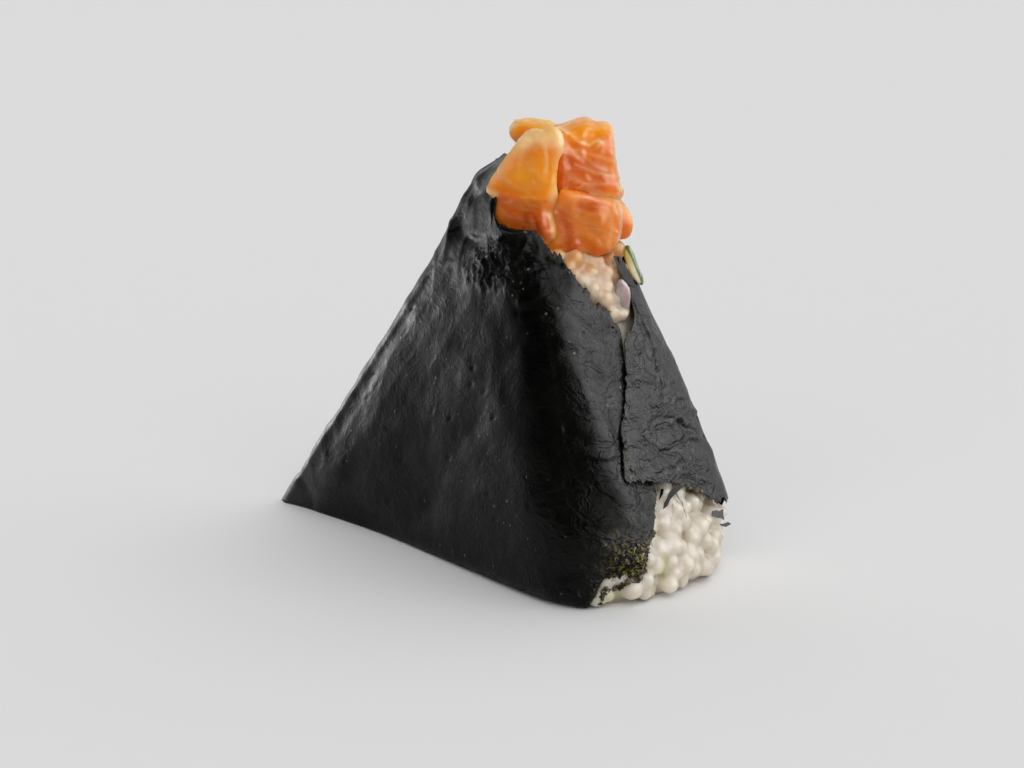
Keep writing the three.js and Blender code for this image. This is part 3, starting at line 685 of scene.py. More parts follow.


# %% [markdown]
# Every piece has its own list of strokes. A hollow or a ridge moves the surface, and a pale or
# a deep stroke only colours it. Deep strokes are mostly painted shade, on undersides and in the
# creases between pieces, with some darker red flesh; pale strokes are lines of fat and painted
# light along edges and tops. The lines of fat are parallel curved sheets in the flesh, so
# they come from one direction per piece and run right round to its hidden side.

# %% The salmon's own marks
# pale: lines of fat and painted light along edges and tops; deep: mostly painted shade under the pieces
# and in their creases, with some darker red flesh
SALMON_MARKS = {
    "salmon_front": {
        "nudges": [
            ([(505, 212)], 13, -1.3, 0.1), ([(544, 125)], 8, 0.0, -1.3),
            ([(567, 128), (568, 150), (566, 188)], 8, -1.5, 0.0),
        ],
        "grain": (0.55, 0.1, 1.0), "spacing": 4.6, "fat": 0.25,
        "shape": [
            ([(486, 191), (505, 193), (526, 197), (546, 198)], 4, 0.35),
            ([(500, 206), (520, 209), (540, 208)], 6, -0.45),
            ([(526, 205), (536, 215), (543, 223)], 3.6, 0.2),
            ([(541, 226), (548, 236), (552, 232)], 5, 0.4),
            ([(534, 219), (537, 230)], 3.5, -0.25),
            ([(554, 132), (557, 158), (558, 176), (553, 194)], 3.2, 0.4),
            ([(545, 138), (549, 158), (549, 178)], 4, -0.35),
            ([(520, 150), (524, 165), (524, 178)], 6, -0.2),
            ([(489, 186), (507, 158), (526, 134)], 3, 0.3),
            ([(546, 133), (556, 138), (559, 150)], 7, 1.1),
            ([(530, 130), (540, 130)], 5, 0.5),
        ],
        "pale": [
            ([(488, 189), (507, 157), (526, 133), (540, 128)], 3.2, 0.4),
            ([(500, 176), (513, 158), (526, 142)], 6, 0.3),
            ([(524, 142), (538, 137), (552, 140)], 8, 0.9),
            ([(555, 132), (558, 158), (559, 174), (556, 188), (551, 199)], 3.0, 0.85),
            ([(545, 146), (547, 160), (546, 172)], 1.6, 0.5),
            ([(548, 214), (551, 224), (552, 236)], 2.4, 0.5),
            ([(486, 190), (496, 194)], 3, 0.7),
        ],
        "deep": [
            ([(500, 204), (515, 216), (534, 222)], 12, 0.95),
            ([(520, 227), (538, 226), (545, 232)], 7, 1.0),
            ([(530, 208), (538, 218)], 5, 0.6),
        ],
        "golden": [
            ([(520, 176), (540, 166), (552, 180)], 16, 0.85),
            ([(536, 136), (550, 140)], 8, 0.5),
        ],
    },
    "salmon_main": {
        "grain": (0.7, -0.2, 0.9), "spacing": 3.6, "fat": 0.6,
        "shape": [
            ([(556, 129), (569, 133), (579, 142), (588, 146), (597, 141), (601, 143)], 2.2, 0.22),
            ([(572, 131), (584, 134), (594, 134)], 6, -0.5),
            ([(566, 158), (580, 150), (604, 152)], 5, -0.2),
            ([(566, 150), (572, 170), (568, 186)], 4, -0.35),
            ([(575, 160), (590, 168), (612, 172)], 2.4, 0.12),
            ([(572, 172), (590, 181), (616, 186)], 2.4, 0.12),
            ([(563, 187), (580, 193), (600, 192), (621, 198)], 2.8, -0.25),
            ([(610, 128), (613, 150), (618, 178)], 2.6, 0.25),
        ],
        "pale": [
            ([(556, 128), (569, 133), (579, 142), (588, 146), (597, 141), (601, 143)], 1.5, 0.5),
            ([(560, 127), (572, 121), (590, 119), (608, 123)], 2.4, 0.5),
            ([(611, 126), (614, 150), (618, 174), (621, 190)], 2, 0.7),
            ([(568, 148), (590, 154), (611, 160)], 1.6, 0.3),
            ([(575, 164), (594, 172), (613, 176)], 1.6, 0.45),
            ([(570, 178), (584, 184), (606, 184)], 1.6, 0.45),
            ([(578, 188), (598, 194), (618, 198)], 1.6, 0.2),
            ([(598, 138), (602, 143), (598, 146)], 1.6, 0.6),
        ],
        "deep": [
            ([(570, 160), (584, 166), (600, 170)], 9, 0.55),
            ([(566, 176), (576, 184), (596, 186)], 6, 0.6),
            ([(604, 176), (614, 184)], 6, 0.4),
        ],
        "golden": [
            ([(576, 128), (592, 130), (604, 128)], 9, 0.9),
            ([(560, 134), (572, 140)], 6, 0.4),
        ],
    },
    "salmon_lower": {
        "grain": (0.5, 0.3, 1.0), "spacing": 5.2, "fat": 0.3,
        "shape": [
            ([(566, 196), (590, 199), (622, 203)], 4, 0.3),
            ([(560, 212), (566, 230), (564, 246)], 5, -0.3),
            ([(600, 226), (606, 240), (600, 252)], 8, 0.25),
            ([(580, 240), (588, 250)], 5, -0.3),
            ([(614, 206), (618, 226), (615, 242)], 3, 0.2),
        ],
        "pale": [
            ([(620, 204), (624, 222), (622, 240), (612, 252)], 2.2, 0.9),
            ([(611, 206), (613, 226), (608, 246)], 2, 0.3),
            ([(570, 198), (592, 197), (618, 202)], 3, 0.25),
            ([(574, 208), (590, 214), (606, 214)], 1.6, 0.2),
        ],
        "deep": [
            ([(562, 214), (568, 232), (572, 244)], 10, 0.9),
            ([(588, 212), (596, 230), (598, 246)], 16, 0.6),
            ([(582, 206), (594, 208)], 5, 0.35),
            ([(590, 252), (606, 252)], 4, 0.35),
        ],
        "golden": [([(594, 222), (602, 238)], 16, 0.6)],
    },
    "salmon_back_left": {
        "nudges": [([(509, 152)], 14, 2.6, 0.0)],
        "grain": (0.4, 0.6, 0.9), "spacing": 4.4, "fat": 0.25,
        "shape": [([(513, 128), (530, 127), (548, 128)], 3, -0.25)],
        "pale": [([(509, 127), (515, 119), (528, 117), (543, 119), (554, 124)], 5, 0.8)],
        "deep": [([(520, 134), (534, 130)], 3, 0.2)],
        "golden": [([(512, 126), (530, 122), (552, 124)], 12, 0.9)],
    },
    "salmon_right": {
        "grain": (0.4, 0.2, 1.0), "spacing": 3.4, "fat": 0.3,
        "shape": [([(628, 210), (632, 226)], 3, 0.2)],
        "pale": [([(626, 206), (633, 218), (635, 230)], 1.8, 0.6)],
        "deep": [([(626, 226), (629, 236)], 4, 0.5)],
        "golden": [([(629, 214), (632, 230)], 8, 0.5)],
    },
}
print("marks on", len(SALMON_MARKS), "pieces of salmon")

# %% [markdown]
# Each piece is remeshed and smoothed, then its sides are moved until they touch their
# neighbours, as soft flesh does under its own weight. Only then do the strokes shape it.

# %% Build the salmon
def fat_lines(points, grain, spacing):
    """1 on a pale layer of fat, 0 between: wavy parallel layers across the grain."""
    along = points @ np.array(Vector(grain).normalized())
    wavy = along + 1.1 * noise_at(points, 6, 7.7) + 0.35 * noise_at(points, 1.8, 2.1)
    phase = (wavy / spacing) % 1
    return np.exp(-((phase - 0.5) / 0.09) ** 2)


FLESH_VOXEL = 0.36
PRESS_REACH = 1.6
masses = {}
for node_name in SALMON_MARKS:
    points, faces = remeshed(node_name, FLESH_VOXEL)
    pairs = edge_pairs(faces)
    masses[node_name] = smoothed(points, pairs, 4), faces, pairs
mass_trees = {name: BVHTree.FromPolygons(mass[0].tolist(), mass[1]) for name, mass in masses.items()}


def pressed_together(node_name):
    """Moves the sides that lie close to another piece until the two touch."""
    points, faces, pairs = masses[node_name]
    moved = points.copy()
    for other, tree in mass_trees.items():
        if other == node_name:
            continue
        for number, point in enumerate(points):
            near, _, _, gap = tree.find_nearest(Vector(point), PRESS_REACH)
            if near is not None:
                share = 1 - smoothstep(0.5, 1, gap / PRESS_REACH)
                moved[number] += (np.array(near) - point) * 0.64 * share
    return smoothed(moved, pairs, 1), faces, pairs


salmon_trees = []
for node_name, marks in SALMON_MARKS.items():
    points, faces, pairs = pressed_together(node_name)
    place = picture_place(points)
    for line, wide, right, up in marks.get("nudges", []):
        share = np.exp(-(from_line(place, line + line[-1:]) / wide) ** 2)
        points = points + share[:, None] * (VIEW_RIGHT * right + VIEW_UP * up)
    normals = vertex_normals(points, faces)
    place = picture_place(points)
    facing = smoothstep(-0.05, 0.25, normals @ VIEW_BACK)
    fat = fat_lines(points, marks["grain"], marks["spacing"]) * marks["fat"]
    move = strokes_at(place, facing, marks["shape"])
    move += 0.09 * noise_at(points, 3.4, 1.1) + 0.05 * noise_at(points, 1.2, 5.2)
    move -= 0.10 * fat_lines(points + 0.4, marks["grain"], marks["spacing"])
    points = points + normals * (move + 0.05)[:, None]
    points = smoothed(points, pairs, 1)
    piece = mesh_object(node_name + "_flesh", points, faces, [node_name])
    # pale holds the fat lines and painted light on edges; deep holds mostly painted shade
    for tint, already in (("pale", 0.35 * fat), ("deep", 0), ("golden", 0)):
        add_value(piece, tint, (strokes_at(place, facing, marks[tint]) + already).clip(0, 1))
    salmon_trees.append(BVHTree.FromPolygons(points.tolist(), faces))
    print(node_name, len(points), "points")

# %% [markdown]
# ## Rice: real grains over a plain core
# Only the outer grains show, so the middle is one closed core and the grains lie on it in two
# layers wherever the nori leaves it bare. A grain is a plump spindle with a slight bend. They
# could be instances, but a joined mesh keeps every grain as real geometry. The places
# come from seeded dart throwing: a grain is kept only where it is far enough from the others.

# %% Core of the rice
CORE_INSET = 2.0
CORE_TOP, CORE_FALL, CORE_FROM = 65.0, 0.44, 3.0
CORE_LEVELS = np.concatenate([[0.3, 1.2, 2.4], np.linspace(4, 65, 40)])
CORE_TURNS = np.concatenate([np.linspace(-0.16, -1, 60), np.linspace(1, 0.16, 60)[1:]])


def inset_side(p_line, z_line, inset):
    """A grid on the body's side, moved in by inset and by a little more next to the floor."""
    p, z = np.meshgrid(p_line, z_line, indexing="ij")
    side, outward = np.stack(body_point(p, z)), np.stack(body_outward(p, z))
    x, y = side - outward * (inset + 1.2 * (1 - smoothstep(0.3, 3, z)))
    return np.stack([x, y, z], 2), outward


def sloping_top(x):
    return CORE_TOP - CORE_FALL * np.maximum(x - CORE_FROM, 0)


def block_faces(turns, levels):
    """The faces of a closed block of points that run up level by level, then round it."""
    index = np.arange(turns * levels).reshape(turns, levels)
    index = np.concatenate([index, index[:1]])
    ends = [reversed(index[:-1, 0]), index[:-1, -1]]
    return [list(map(int, face)) for face in [*grid_faces(index), *ends]]


core_grid, core_outward = inset_side(CORE_TURNS, CORE_LEVELS, CORE_INSET)
core_grid[..., 2] = np.minimum(core_grid[..., 2], sloping_top(core_grid[..., 0]))
turns, levels = core_grid.shape[:2]
rough = 0.5 * noise_at(core_grid.reshape(-1, 3), 2.6, 3.1).reshape(turns, levels)
core_grid[..., :2] += (core_outward * rough).transpose(1, 2, 0)
core_points, core_faces = core_grid.reshape(-1, 3), block_faces(turns, levels)
rice_core = mesh_object("rice_core", core_points, core_faces, ["rice"])
core_tree = BVHTree.FromPolygons(core_points.tolist(), core_faces)
print("rice core:", len(core_faces), "faces")

# %% [markdown]
# Grains belong only where nothing covers the rice. Three small questions decide that: does the
# sheet cover this place, does a piece of salmon, and does the sheet lie too close in front.

# %% Where the rice is bare
def under_nori(p, z, reach=0.0):
    """Whether the sheet covers the body at p and z, and for reach mm around that."""
    for turn in (p, p + 2):
        start, end = np.interp(z, *SHEET_START), np.interp(z, *SHEET_END)
        at = (turn - start) / (end - start)
        if not 0 <= at <= 1:
            continue
        low = np.interp(at, LOWER_BORDER[:, 0], LOWER_BORDER[:, 1])
        high = np.interp(at, RIM[:, 0], RIM[:, 1])
        if (low + reach if low > 0 else -1) < z < high - reach:
            return True
    return False


def in_salmon(point, reach):
    for tree in salmon_trees:
        near, normal, _, distance = tree.find_nearest(Vector(point))
        if distance < reach or (Vector(point) - near).dot(normal) < 0:
            return True
    return False


def behind_nori(point, reach=1.8):
    """Whether the sheet lies closer to a point than a grain is thick."""
    return nori_tree.find_nearest(Vector(point), reach)[0] is not None

# %% [markdown]
# One grain is made once, as a stack of rings, and is then copied to every place.

# %% One grain
GRAIN_LONG, GRAIN_WIDE, GRAIN_THICK = 2.15, 1.75, 1.65  # half sizes


def grain_shape():
    """A rounded spindle of 7 rings of 10, bent a little and fuller at one end."""
    rings, around = 7, 10
    points = [(-1.0, 0.0, 0.0)]
    for r in range(1, rings + 1):
        t = math.pi * r / (rings + 1)
        for a in range(around):
            turn = 2 * math.pi * a / around
            points.append((-math.cos(t), math.sin(t) ** 0.82 * math.cos(turn),
                           math.sin(t) ** 0.82 * math.sin(turn)))
    points.append((1.0, 0.0, 0.0))
    points = np.array(points)
    full = 1 + 0.1 * points[:, :1]
    points[:, 1:] *= full
    points[:, 2] += 0.16 * points[:, 0] ** 2
    faces = []
    last = len(points) - 1
    for a in range(around):
        b = (a + 1) % around
        faces.append([0, 1 + b, 1 + a])
        faces.append([last, last - around + a, last - around + b])
        for r in range(rings - 1):
            c, d = 1 + r * around, 1 + (r + 1) * around
            faces.append([c + a, c + b, d + b, d + a])
    return points * [GRAIN_LONG, GRAIN_WIDE, GRAIN_THICK], faces


GRAIN_POINTS, GRAIN_FACES = grain_shape()
print("one grain:", len(GRAIN_FACES), "faces")

# %% [markdown]
# Darts are thrown at the side and at the sloping top. The seed is fixed, so that every run
# places the same grains.

# %% Throw the grains
draw = random.Random(11)
LAYERS = [(0.0, 2.5, 0), (1.3, 2.7, 1)]  # extra depth, least distance, layer
SIDE_THROWS, TOP_THROWS = 5200, 2600
TOP_AREA = ((14, 30), (3, 18))  # from and to, along x and y


def turned_basis(outward, lie):
    """A frame whose long axis lies in the surface, tipped out of it by the angle lie."""
    outward = Vector(outward).normalized()
    side = outward.orthogonal().normalized()
    side.rotate(Matrix.Rotation(draw.uniform(0, 2 * math.pi), 3, outward))
    axis = side * math.cos(lie) + outward * math.sin(lie)
    second = outward.cross(axis).normalized()
    return np.array([axis, second, axis.cross(second)])


def grain_spots():
    """Middle, outward direction and layer of every grain."""
    spots = []
    for extra, apart, layer in LAYERS:
        placed = []

        def try_spot(middle, outward):
            if any((middle - other).length_squared < apart ** 2 for other, _ in placed):
                return
            if in_salmon(middle, 1.0) or (36 < middle.z < 45 and behind_nori(middle, 1.3)):
                return
            placed.append((middle, outward))

        for _ in range(SIDE_THROWS):
            z = draw.uniform(1.4, 64)
            p = draw.uniform(0.66, 1.34)
            p = p - 2 if p > 1 else p
            step = 1.2 / float(side_length(z))
            if any(under_nori(p + side * step, z, 1.2) for side in (-1, 0, 1)):
                continue
            tucked = any(under_nori(p + side * step, z + rise, -0.3)
                         for side in (-1, 0, 1) for rise in (-1, 0, 1))
            (x, y), (ox, oy) = body_point(p, z), body_outward(p, z)
            if z > sloping_top(x) + 1:
                continue
            depth = 1.3 + extra + draw.uniform(-0.35, 0.3) + 0.75 * tucked
            outward = Vector((float(ox), float(oy), 0.3))
            if z < 3:
                depth += 0.6 * (3 - z)
            try_spot(Vector((float(x - ox * depth), float(y - oy * depth), z)), outward)
        for _ in range(TOP_THROWS):
            x, y = (draw.uniform(*side) for side in TOP_AREA)
            hit, normal, _, _ = core_tree.ray_cast(Vector((x, y, 90)), Vector((0, 0, -1)))
            if hit is None or normal.z < 0.5:
                continue
            middle = hit + normal * (0.7 - extra * 0.5 + draw.uniform(-0.3, 0.3))
            if middle.z > 45 and not behind_nori(middle):
                try_spot(middle, normal)
        spots += [(middle, outward, layer) for middle, outward in placed]
    return spots


FOOT_OUT, BACK_IN = 0.8, 1.6  # how far the free end has sagged


def sagging(points):
    """The free end of the rice has sunk a little: its foot stands out and its back is round."""
    x, y, z = points.T
    end = smoothstep(30, 40, x)
    foot = between(-16, -7, 5, 16, y)
    low = 1 - smoothstep(np.where(y < -8, 2, 4), np.where(y < -8, 7, 15), z)
    back = smoothstep(10, 21, y) * (1 - smoothstep(4, 13, z))
    return points + np.stack([end * (FOOT_OUT * foot * low - BACK_IN * back), 0 * y, 0 * z], 1)


def build_grains(spots):
    grains, tone, deep = [], [], []
    for middle, outward, layer in spots:
        lie = draw.choice([0.2, 0.5, 0.8, 1.1, 1.4]) * draw.choice([-1, 1])
        size = draw.uniform(0.88, 1.08)
        placed = GRAIN_POINTS * size @ turned_basis(outward, lie) + np.array(middle)
        placed[:, 2] += max(0.12 - placed[:, 2].min(), 0)
        grains.append((sagging(placed), GRAIN_FACES))
        tone.append(draw.random())
        deep.append(float(layer))
    return *joined(grains), *np.repeat([tone, deep], len(GRAIN_POINTS), axis=1)


spots = grain_spots()
grain_points, grain_faces, grain_tone, grain_deep = build_grains(spots)
print("grains:", len(spots), "with", len(grain_faces), "faces")

# %% [markdown]
# Cooked grains stick: where two touch, the starch fills the corner between them. Remeshing all
# the grains as one skin and smoothing it a little does the same, and it also removes every
# face that lay hidden inside a neighbour. Each new point takes its tone from the nearest
# point of the loose grains.

# %% Stick the grains together
STICKY_VOXEL = 0.38
BARE_MASSES = [(0.7, 0.5, 24.0), (0.5, 44.0, 62.0)]  # from which p, lowest and highest z


def mass_behind(p_from, z_low, z_high):
    """A closed piece of the rice behind its bare grains, so that they are backed by rice."""
    p_line = np.concatenate([np.linspace(-p_from, -1, 40), np.linspace(1, p_from, 40)[1:]])
    grid, _ = inset_side(p_line, np.linspace(z_low, z_high, 30), 2.3)
    grid[..., 2] = np.minimum(grid[..., 2], sloping_top(grid[..., 0]) - 0.8)
    return sagging(grid.reshape(-1, 3)), block_faces(*grid.shape[:2])


def hollows_filled(points, faces, pairs, rounds):
    """Fills the corners between grains: a point moves out to its neighbours, hardly ever in."""
    for _ in range(rounds):
        pull = neighbour_pull(points, pairs)
        normals = vertex_normals(points, faces)
        outwards = (pull * normals).sum(1, keepdims=True)
        points = points + normals * np.where(outwards > 0, 0.9 * outwards, 0.12 * outwards)
        points = points + 0.5 * (pull - normals * outwards)
    return points


FILL_ROUNDS, SOAKED_ROUNDS = 6, 10
OPENING_SINK = 1.5  # how far the rice next to the foot of the opening lies back
tree_of_points = KDTree(len(grain_points))
for number, point in enumerate(grain_points):
    tree_of_points.insert(point, number)
tree_of_points.balance()
mass_points, mass_faces = joined([
    (grain_points, grain_faces), *[mass_behind(*place) for place in BARE_MASSES]])
fused, grain_faces = remeshed_object(plain_object("loose", mass_points, mass_faces), STICKY_VOXEL)
fused_pairs = edge_pairs(grain_faces)
fused = hollows_filled(smoothed(fused, fused_pairs, 2), grain_faces, fused_pairs, FILL_ROUNDS)
soaked = smoothstep(41, 46, fused[:, 2])[:, None]
fused += (smoothed(fused, fused_pairs, SOAKED_ROUNDS) - fused) * soaked
fused[:, 0] -= OPENING_SINK * between(37, 41, 43.5, 47, fused[:, 2])
nearest = np.array([tree_of_points.find(point)[1] for point in fused])
grain_points, grain_tone, grain_deep = fused, grain_tone[nearest], grain_deep[nearest]
grains = mesh_object("rice_grains", grain_points, grain_faces)
print("stuck grains:", len(grain_faces), "faces")

# %% [markdown]
# Juice from the salmon has run down into the rice below it and tinted it cream and orange. The
# same value also paints the shade in the hollow under the salmon, as a darker colour. It is a
# value on every point, so that the finish can follow it: strong next to the flesh, and gone two
# centimetres lower.

# %% Tints in the rice
def juice_and_shade_at(points):
    place = picture_place(points)
    high = smoothstep(42, 48, points[:, 2])
    fading = 1 - 0.62 * smoothstep(252, 284, place[:, 1] + 8 * noise_at(points, 4, 1.4))
    patchy = 1 + 0.5 * noise_at(points, 2.4, 4.6)
    return (high * fading * patchy).clip(0, 1)


GREEN_STAINS = [  # line, width in pixels, strength
    ([(615, 594), (614, 604)], 5, 1),
    ([(666, 558), (663, 576)], 4.5, 1),
]
# The core counts as deep, so it takes the painted shade of the deeper grains.
core_tone, core_deep = np.full(len(core_points), 0.4), np.ones(len(core_points))
for piece, points, tone, deep in (
        (grains, grain_points, grain_tone, grain_deep),
        (rice_core, core_points, core_tone, core_deep)):
    near_end = smoothstep(20, 30, points[:, 0])
    stain = strokes_at(picture_place(points), near_end, GREEN_STAINS).clip(0, 1)
    rice_values = {"juice_and_shade": juice_and_shade_at(points), "stain": stain, "tone": tone, "deep": deep}
    for value_name, values in rice_values.items():
        add_value(piece, value_name, values)
print("rice tinted:", ", ".join(rice_values))

# %% [markdown]
# ## Cucumber and onion
# The strip is cut lengthwise from a cucumber, so one long side is dark skin and the rest pale
# flesh. The onion slice is one thin curved layer. Both keep the solid's mass, remeshed finely
# enough for a crisp skin line.

# %% Small garnishes
GARNISHES = {
    "cucumber_strip": ("cucumber", [(624, 246), (628, 248), (633, 256), (638, 268), (643, 281),
                                    (642, 288)]),
    "onion_slice": ("onion", [(622, 290), (630, 291), (632, 309), (629, 322)]),
}
for node_name, (slot, skin_line) in GARNISHES.items():
    points, faces = remeshed(node_name, 0.2)
    pairs = edge_pairs(faces)
    points = smoothed(points, pairs, 2)
    normals = vertex_normals(points, faces)
    place = picture_place(points)
    points = points + normals * (0.06 * noise_at(points, 0.9, 3.3))[:, None]
    piece = mesh_object(node_name + "_cut", points, faces, [node_name])
    add_value(piece, "skin", 1 - smoothstep(1.6, 3.0, from_line(place, skin_line)))
    add_value(piece, "pith", smoothstep(254, 274, place[:, 1]))
    print(node_name, len(points), "points")

# %% [markdown]
# ## Loose fibres and crumbs
# Torn nori ends in fine dark fibres, and a few flakes stick to the rice. Hair particles would
# do for a picture, but thin tubes in one joined mesh are real geometry that can be exported.

# %% Fibres
def tube(path, radius, sides=4):
    """A closed tapering tube along a path of points."""
    path = [Vector(q) for q in path]
    points, faces = [], []
    for i, at in enumerate(path):
        ahead = (path[min(i + 1, len(path) - 1)] - path[max(i - 1, 0)]).normalized()
        side = ahead.orthogonal().normalized()
        up = ahead.cross(side)
        size = radius * (1 - 0.6 * i / (len(path) - 1))
        for k in range(sides):
            turn = 2 * math.pi * k / sides
            points.append(at + (side * math.cos(turn) + up * math.sin(turn)) * size)
    for i in range(len(path) - 1):
        for k in range(sides):
            n = (k + 1) % sides
            a, b = i * sides, (i + 1) * sides
            faces.append([a + k, a + n, b + n, b + k])
    faces.append(list(range(sides))[::-1])
    faces.append([(len(path) - 1) * sides + k for k in range(sides)])
    return np.array(points), faces


grid_outer = outer[:columns * per_column].reshape(columns, per_column, 3)
grid_out = outwards.reshape(columns, per_column, 3)
fibres = []
TORN_COLUMNS = [i for i in range(columns) if torn[i]]
for _ in range(70):
    at_low = draw.random() < 0.8
    i = draw.choice(TORN_COLUMNS) if at_low else draw.randrange(0, columns)
    root = grid_outer[i, 0 if at_low else per_column - 1]
    outward = grid_out[i, 0]
    if root[2] < 1.5 or root[2] > 66:
        continue
    along = np.array([-outward[1], outward[0], 0]) * draw.uniform(-1, 1)
    heading = along + np.array([0, 0, -1 if at_low else 1]) + outward * draw.uniform(-0.2, 0.35)
    heading /= np.linalg.norm(heading)
    length = draw.uniform(0.3, 1.1)
    bend = np.array([draw.uniform(-1, 1), draw.uniform(-1, 1), -0.5]) * 0.25
    path = [root - outward * 0.15 + heading * length * t + bend * t * t for t in (-0.3, 0.2, 0.6, 1)]
    fibres.append(tube(path, draw.uniform(0.03, 0.06)))
fibre_points, fibre_faces = joined(fibres)
fibre_piece = mesh_object("nori_fibres", fibre_points, fibre_faces)
print("fibres:", len(fibres))

# %% [markdown]
# The torn corner has crumbled: its bits are thin golden-green flakes, tipped every way. Others
# lie on the rice. Each bit has its outline, a little thickness and a place on what carries it.

# %% Flakes and crumbs
def flake(middle, ring, thick):
    """A thin closed flake: a fan from its middle to its ring, with a front, a back and a wall."""
    front = np.array([middle, *ring])
    turn = np.cross(front[1] - front[0], front[2] - front[0])
    turn /= max(np.linalg.norm(turn), 1e-9)
    last = len(ring)
    faces = [[0, i, i % last + 1] for i in range(1, last + 1)]
    return closed_sheet(front, front - turn * thick, faces)


def crumbs_over(tree, line, spread, count, size, lifted, gilt):
    """Flakes strewn along a line of picture places."""
    made = []
    line = np.asarray(line, float)
    for _ in range(count):
        at = draw.random() * (len(line) - 1)
        place = line[int(at)] * (1 - at % 1) + line[int(at) + 1] * (at % 1)
        place = place + [draw.gauss(0, spread), draw.gauss(0, spread)]
        point, normal = seen_on(tree, *place)
        tilt = Vector([draw.uniform(-1, 1) for _ in range(3)])
        if point is None or (point - AIM).dot(TOWARDS_VIEW) < 2:
            continue
        facing = (normal + 0.9 * tilt).normalized()
        side = facing.orthogonal().normalized()
        across = facing.cross(side)
        middle = np.array(point + normal * draw.uniform(0.02, lifted))
        radius = size * draw.uniform(0.5, 1.4)
        ring = []
        for k in range(5):
            turn = 2 * math.pi * (k + draw.uniform(-0.3, 0.3)) / 5
            reach = radius * draw.uniform(0.5, 1.2)
            ring.append(middle + np.array(side * math.cos(turn) + across * math.sin(turn)) * reach)
        points, faces = flake(middle, ring, 0.08)
        made.append((np.maximum(points, [-1e3, -1e3, 0.05]), faces, draw.random() * gilt))
    return made


def strand_on(tree, line, radius, off=0.25, sides=4):
    """A fibre that lies on a piece along a line of picture places."""
    path = []
    for place in line:
        point, normal = seen_on(tree, *place)
        if point is not None:
            path.append(point + normal * off)
    return tube(path, radius, sides)


def scrap_on(tree, anchor, outline, off=0.3, thick=0.15):
    """A flat scrap that lies where the anchor is seen; its outline is in picture places."""
    at, normal = seen_on(tree, *anchor)
    level = (normal + Vector(VIEW_BACK) * 0.6).normalized()
    at = at + normal * off
    spots = []
    for across, down in [np.mean(outline, 0), *outline]:
        ray = line_of_sight(across, down)
        spots.append(np.array(Vector(EYE) + ray * ((at - Vector(EYE)).dot(level) / ray.dot(level))))
    return flake(spots[0], spots[1:], thick)


rice_tree = BVHTree.FromPolygons(grain_points.tolist(), grain_faces)
# Each row: piece, line, spread in pixels, count, size in mm, lift in mm, how golden. A lift
# below 0 presses the flakes into the sheet.
STREWN = [
    (nori_tree, [(651, 538), (645, 548), (645, 562), (641, 576)], 2.2, 150, 0.6, -0.75, 1.0),
    (nori_tree, [(645, 570), (632, 577), (616, 580)], 3.0, 190, 0.6, -0.8, 0.8),
    (nori_tree, [(640, 545), (630, 556), (616, 566)], 6.0, 120, 0.6, -0.45, 0.5),
    (nori_tree, [(642, 552), (637, 560)], 3.0, 60, 0.7, -0.7, 1.0),
    (rice_tree, [(651, 532), (646, 545), (645, 562), (641, 576)], 1.6, 90, 0.5, 0.4, 0.7),
    (rice_tree, [(640, 580), (624, 584), (606, 590), (598, 604)], 1.6, 60, 0.4, 0.3, 0.6),
    (nori_tree, [(622, 583), (604, 588), (600, 604)], 2.5, 60, 0.45, -0.4, 0.7),
    (nori_tree, [(672, 486), (686, 486), (700, 491)], 1.4, 60, 0.35, -0.3, 1.0),
    (nori_tree, [(536, 230), (560, 256), (589, 293), (604, 305), (619, 335)], 2.0, 90, 0.6, -0.55, 0.3),
    (nori_tree, [(622, 345), (623, 400), (624, 440), (634, 478)], 1.6, 70, 0.4, -0.4, 0.4),
]
crumbs = []
for strewing in STREWN:
    crumbs += crumbs_over(*strewing)
crumb_points, crumb_faces = joined([(points, faces) for points, faces, _ in crumbs])
crumb_gold = np.concatenate([np.full(len(points), gold) for points, _, gold in crumbs])
crumb_piece = mesh_object("nori_crumbs", crumb_points, crumb_faces)
add_value(crumb_piece, "gold", crumb_gold)

scraps = [
    scrap_on(rice_tree, (717, 514), [(712, 511), (716, 510), (719, 511), (723, 509), (723, 515),
                                     (724, 520), (720, 518), (717, 518), (712, 516)], 0.15, 0.1),
    scrap_on(rice_tree, (720, 524), [(718, 524), (722, 524), (728, 522), (731, 524), (726, 527),
                                     (722, 526)], 0.0, 0.1),
    scrap_on(rice_tree, (674, 497), [(684, 485), (679, 490), (674, 495), (669, 500), (667, 506),
                                     (663, 509), (664, 503), (667, 498), (669, 493), (673, 488)], 0.9),
    scrap_on(rice_tree, (662, 495), [(664, 489), (663, 494), (659, 501), (660, 495), (661, 489)]),
    scrap_on(rice_tree, (615, 270), [(613, 256), (620, 257), (622, 265), (629, 275), (634, 287),
                                     (627, 284), (621, 275), (617, 266)], 0.8),
    strand_on(nori_tree, [(503, 229), (512, 232), (524, 232), (534, 232), (541, 234), (546, 237)],
              0.6, -0.15, 8),
    strand_on(nori_tree, [(497, 208), (500, 218), (505, 227), (512, 232)], 0.4, -0.1, 8),
    strand_on(rice_tree, [(675, 492), (677, 498), (681, 504), (683, 511), (686, 518)], 0.1, 0.3),
    strand_on(rice_tree, [(672, 504), (673, 512), (670, 522)], 0.04, 0.2),
]
# How shiny each scrap is, in the order above.
SCRAP_SHEEN = [2.8, 1.2, 0.45, 0.5, 1.2, 1.2, 1.2, 1.2, 1.2]
scrap_points, scrap_faces = joined(scraps)
scrap_piece = mesh_object("nori_scraps", scrap_points, scrap_faces)
scrap_piece.data.polygons.foreach_set("use_smooth", [False] * len(scrap_faces))
print("crumbs:", len(crumbs), "scraps:", len(scraps))

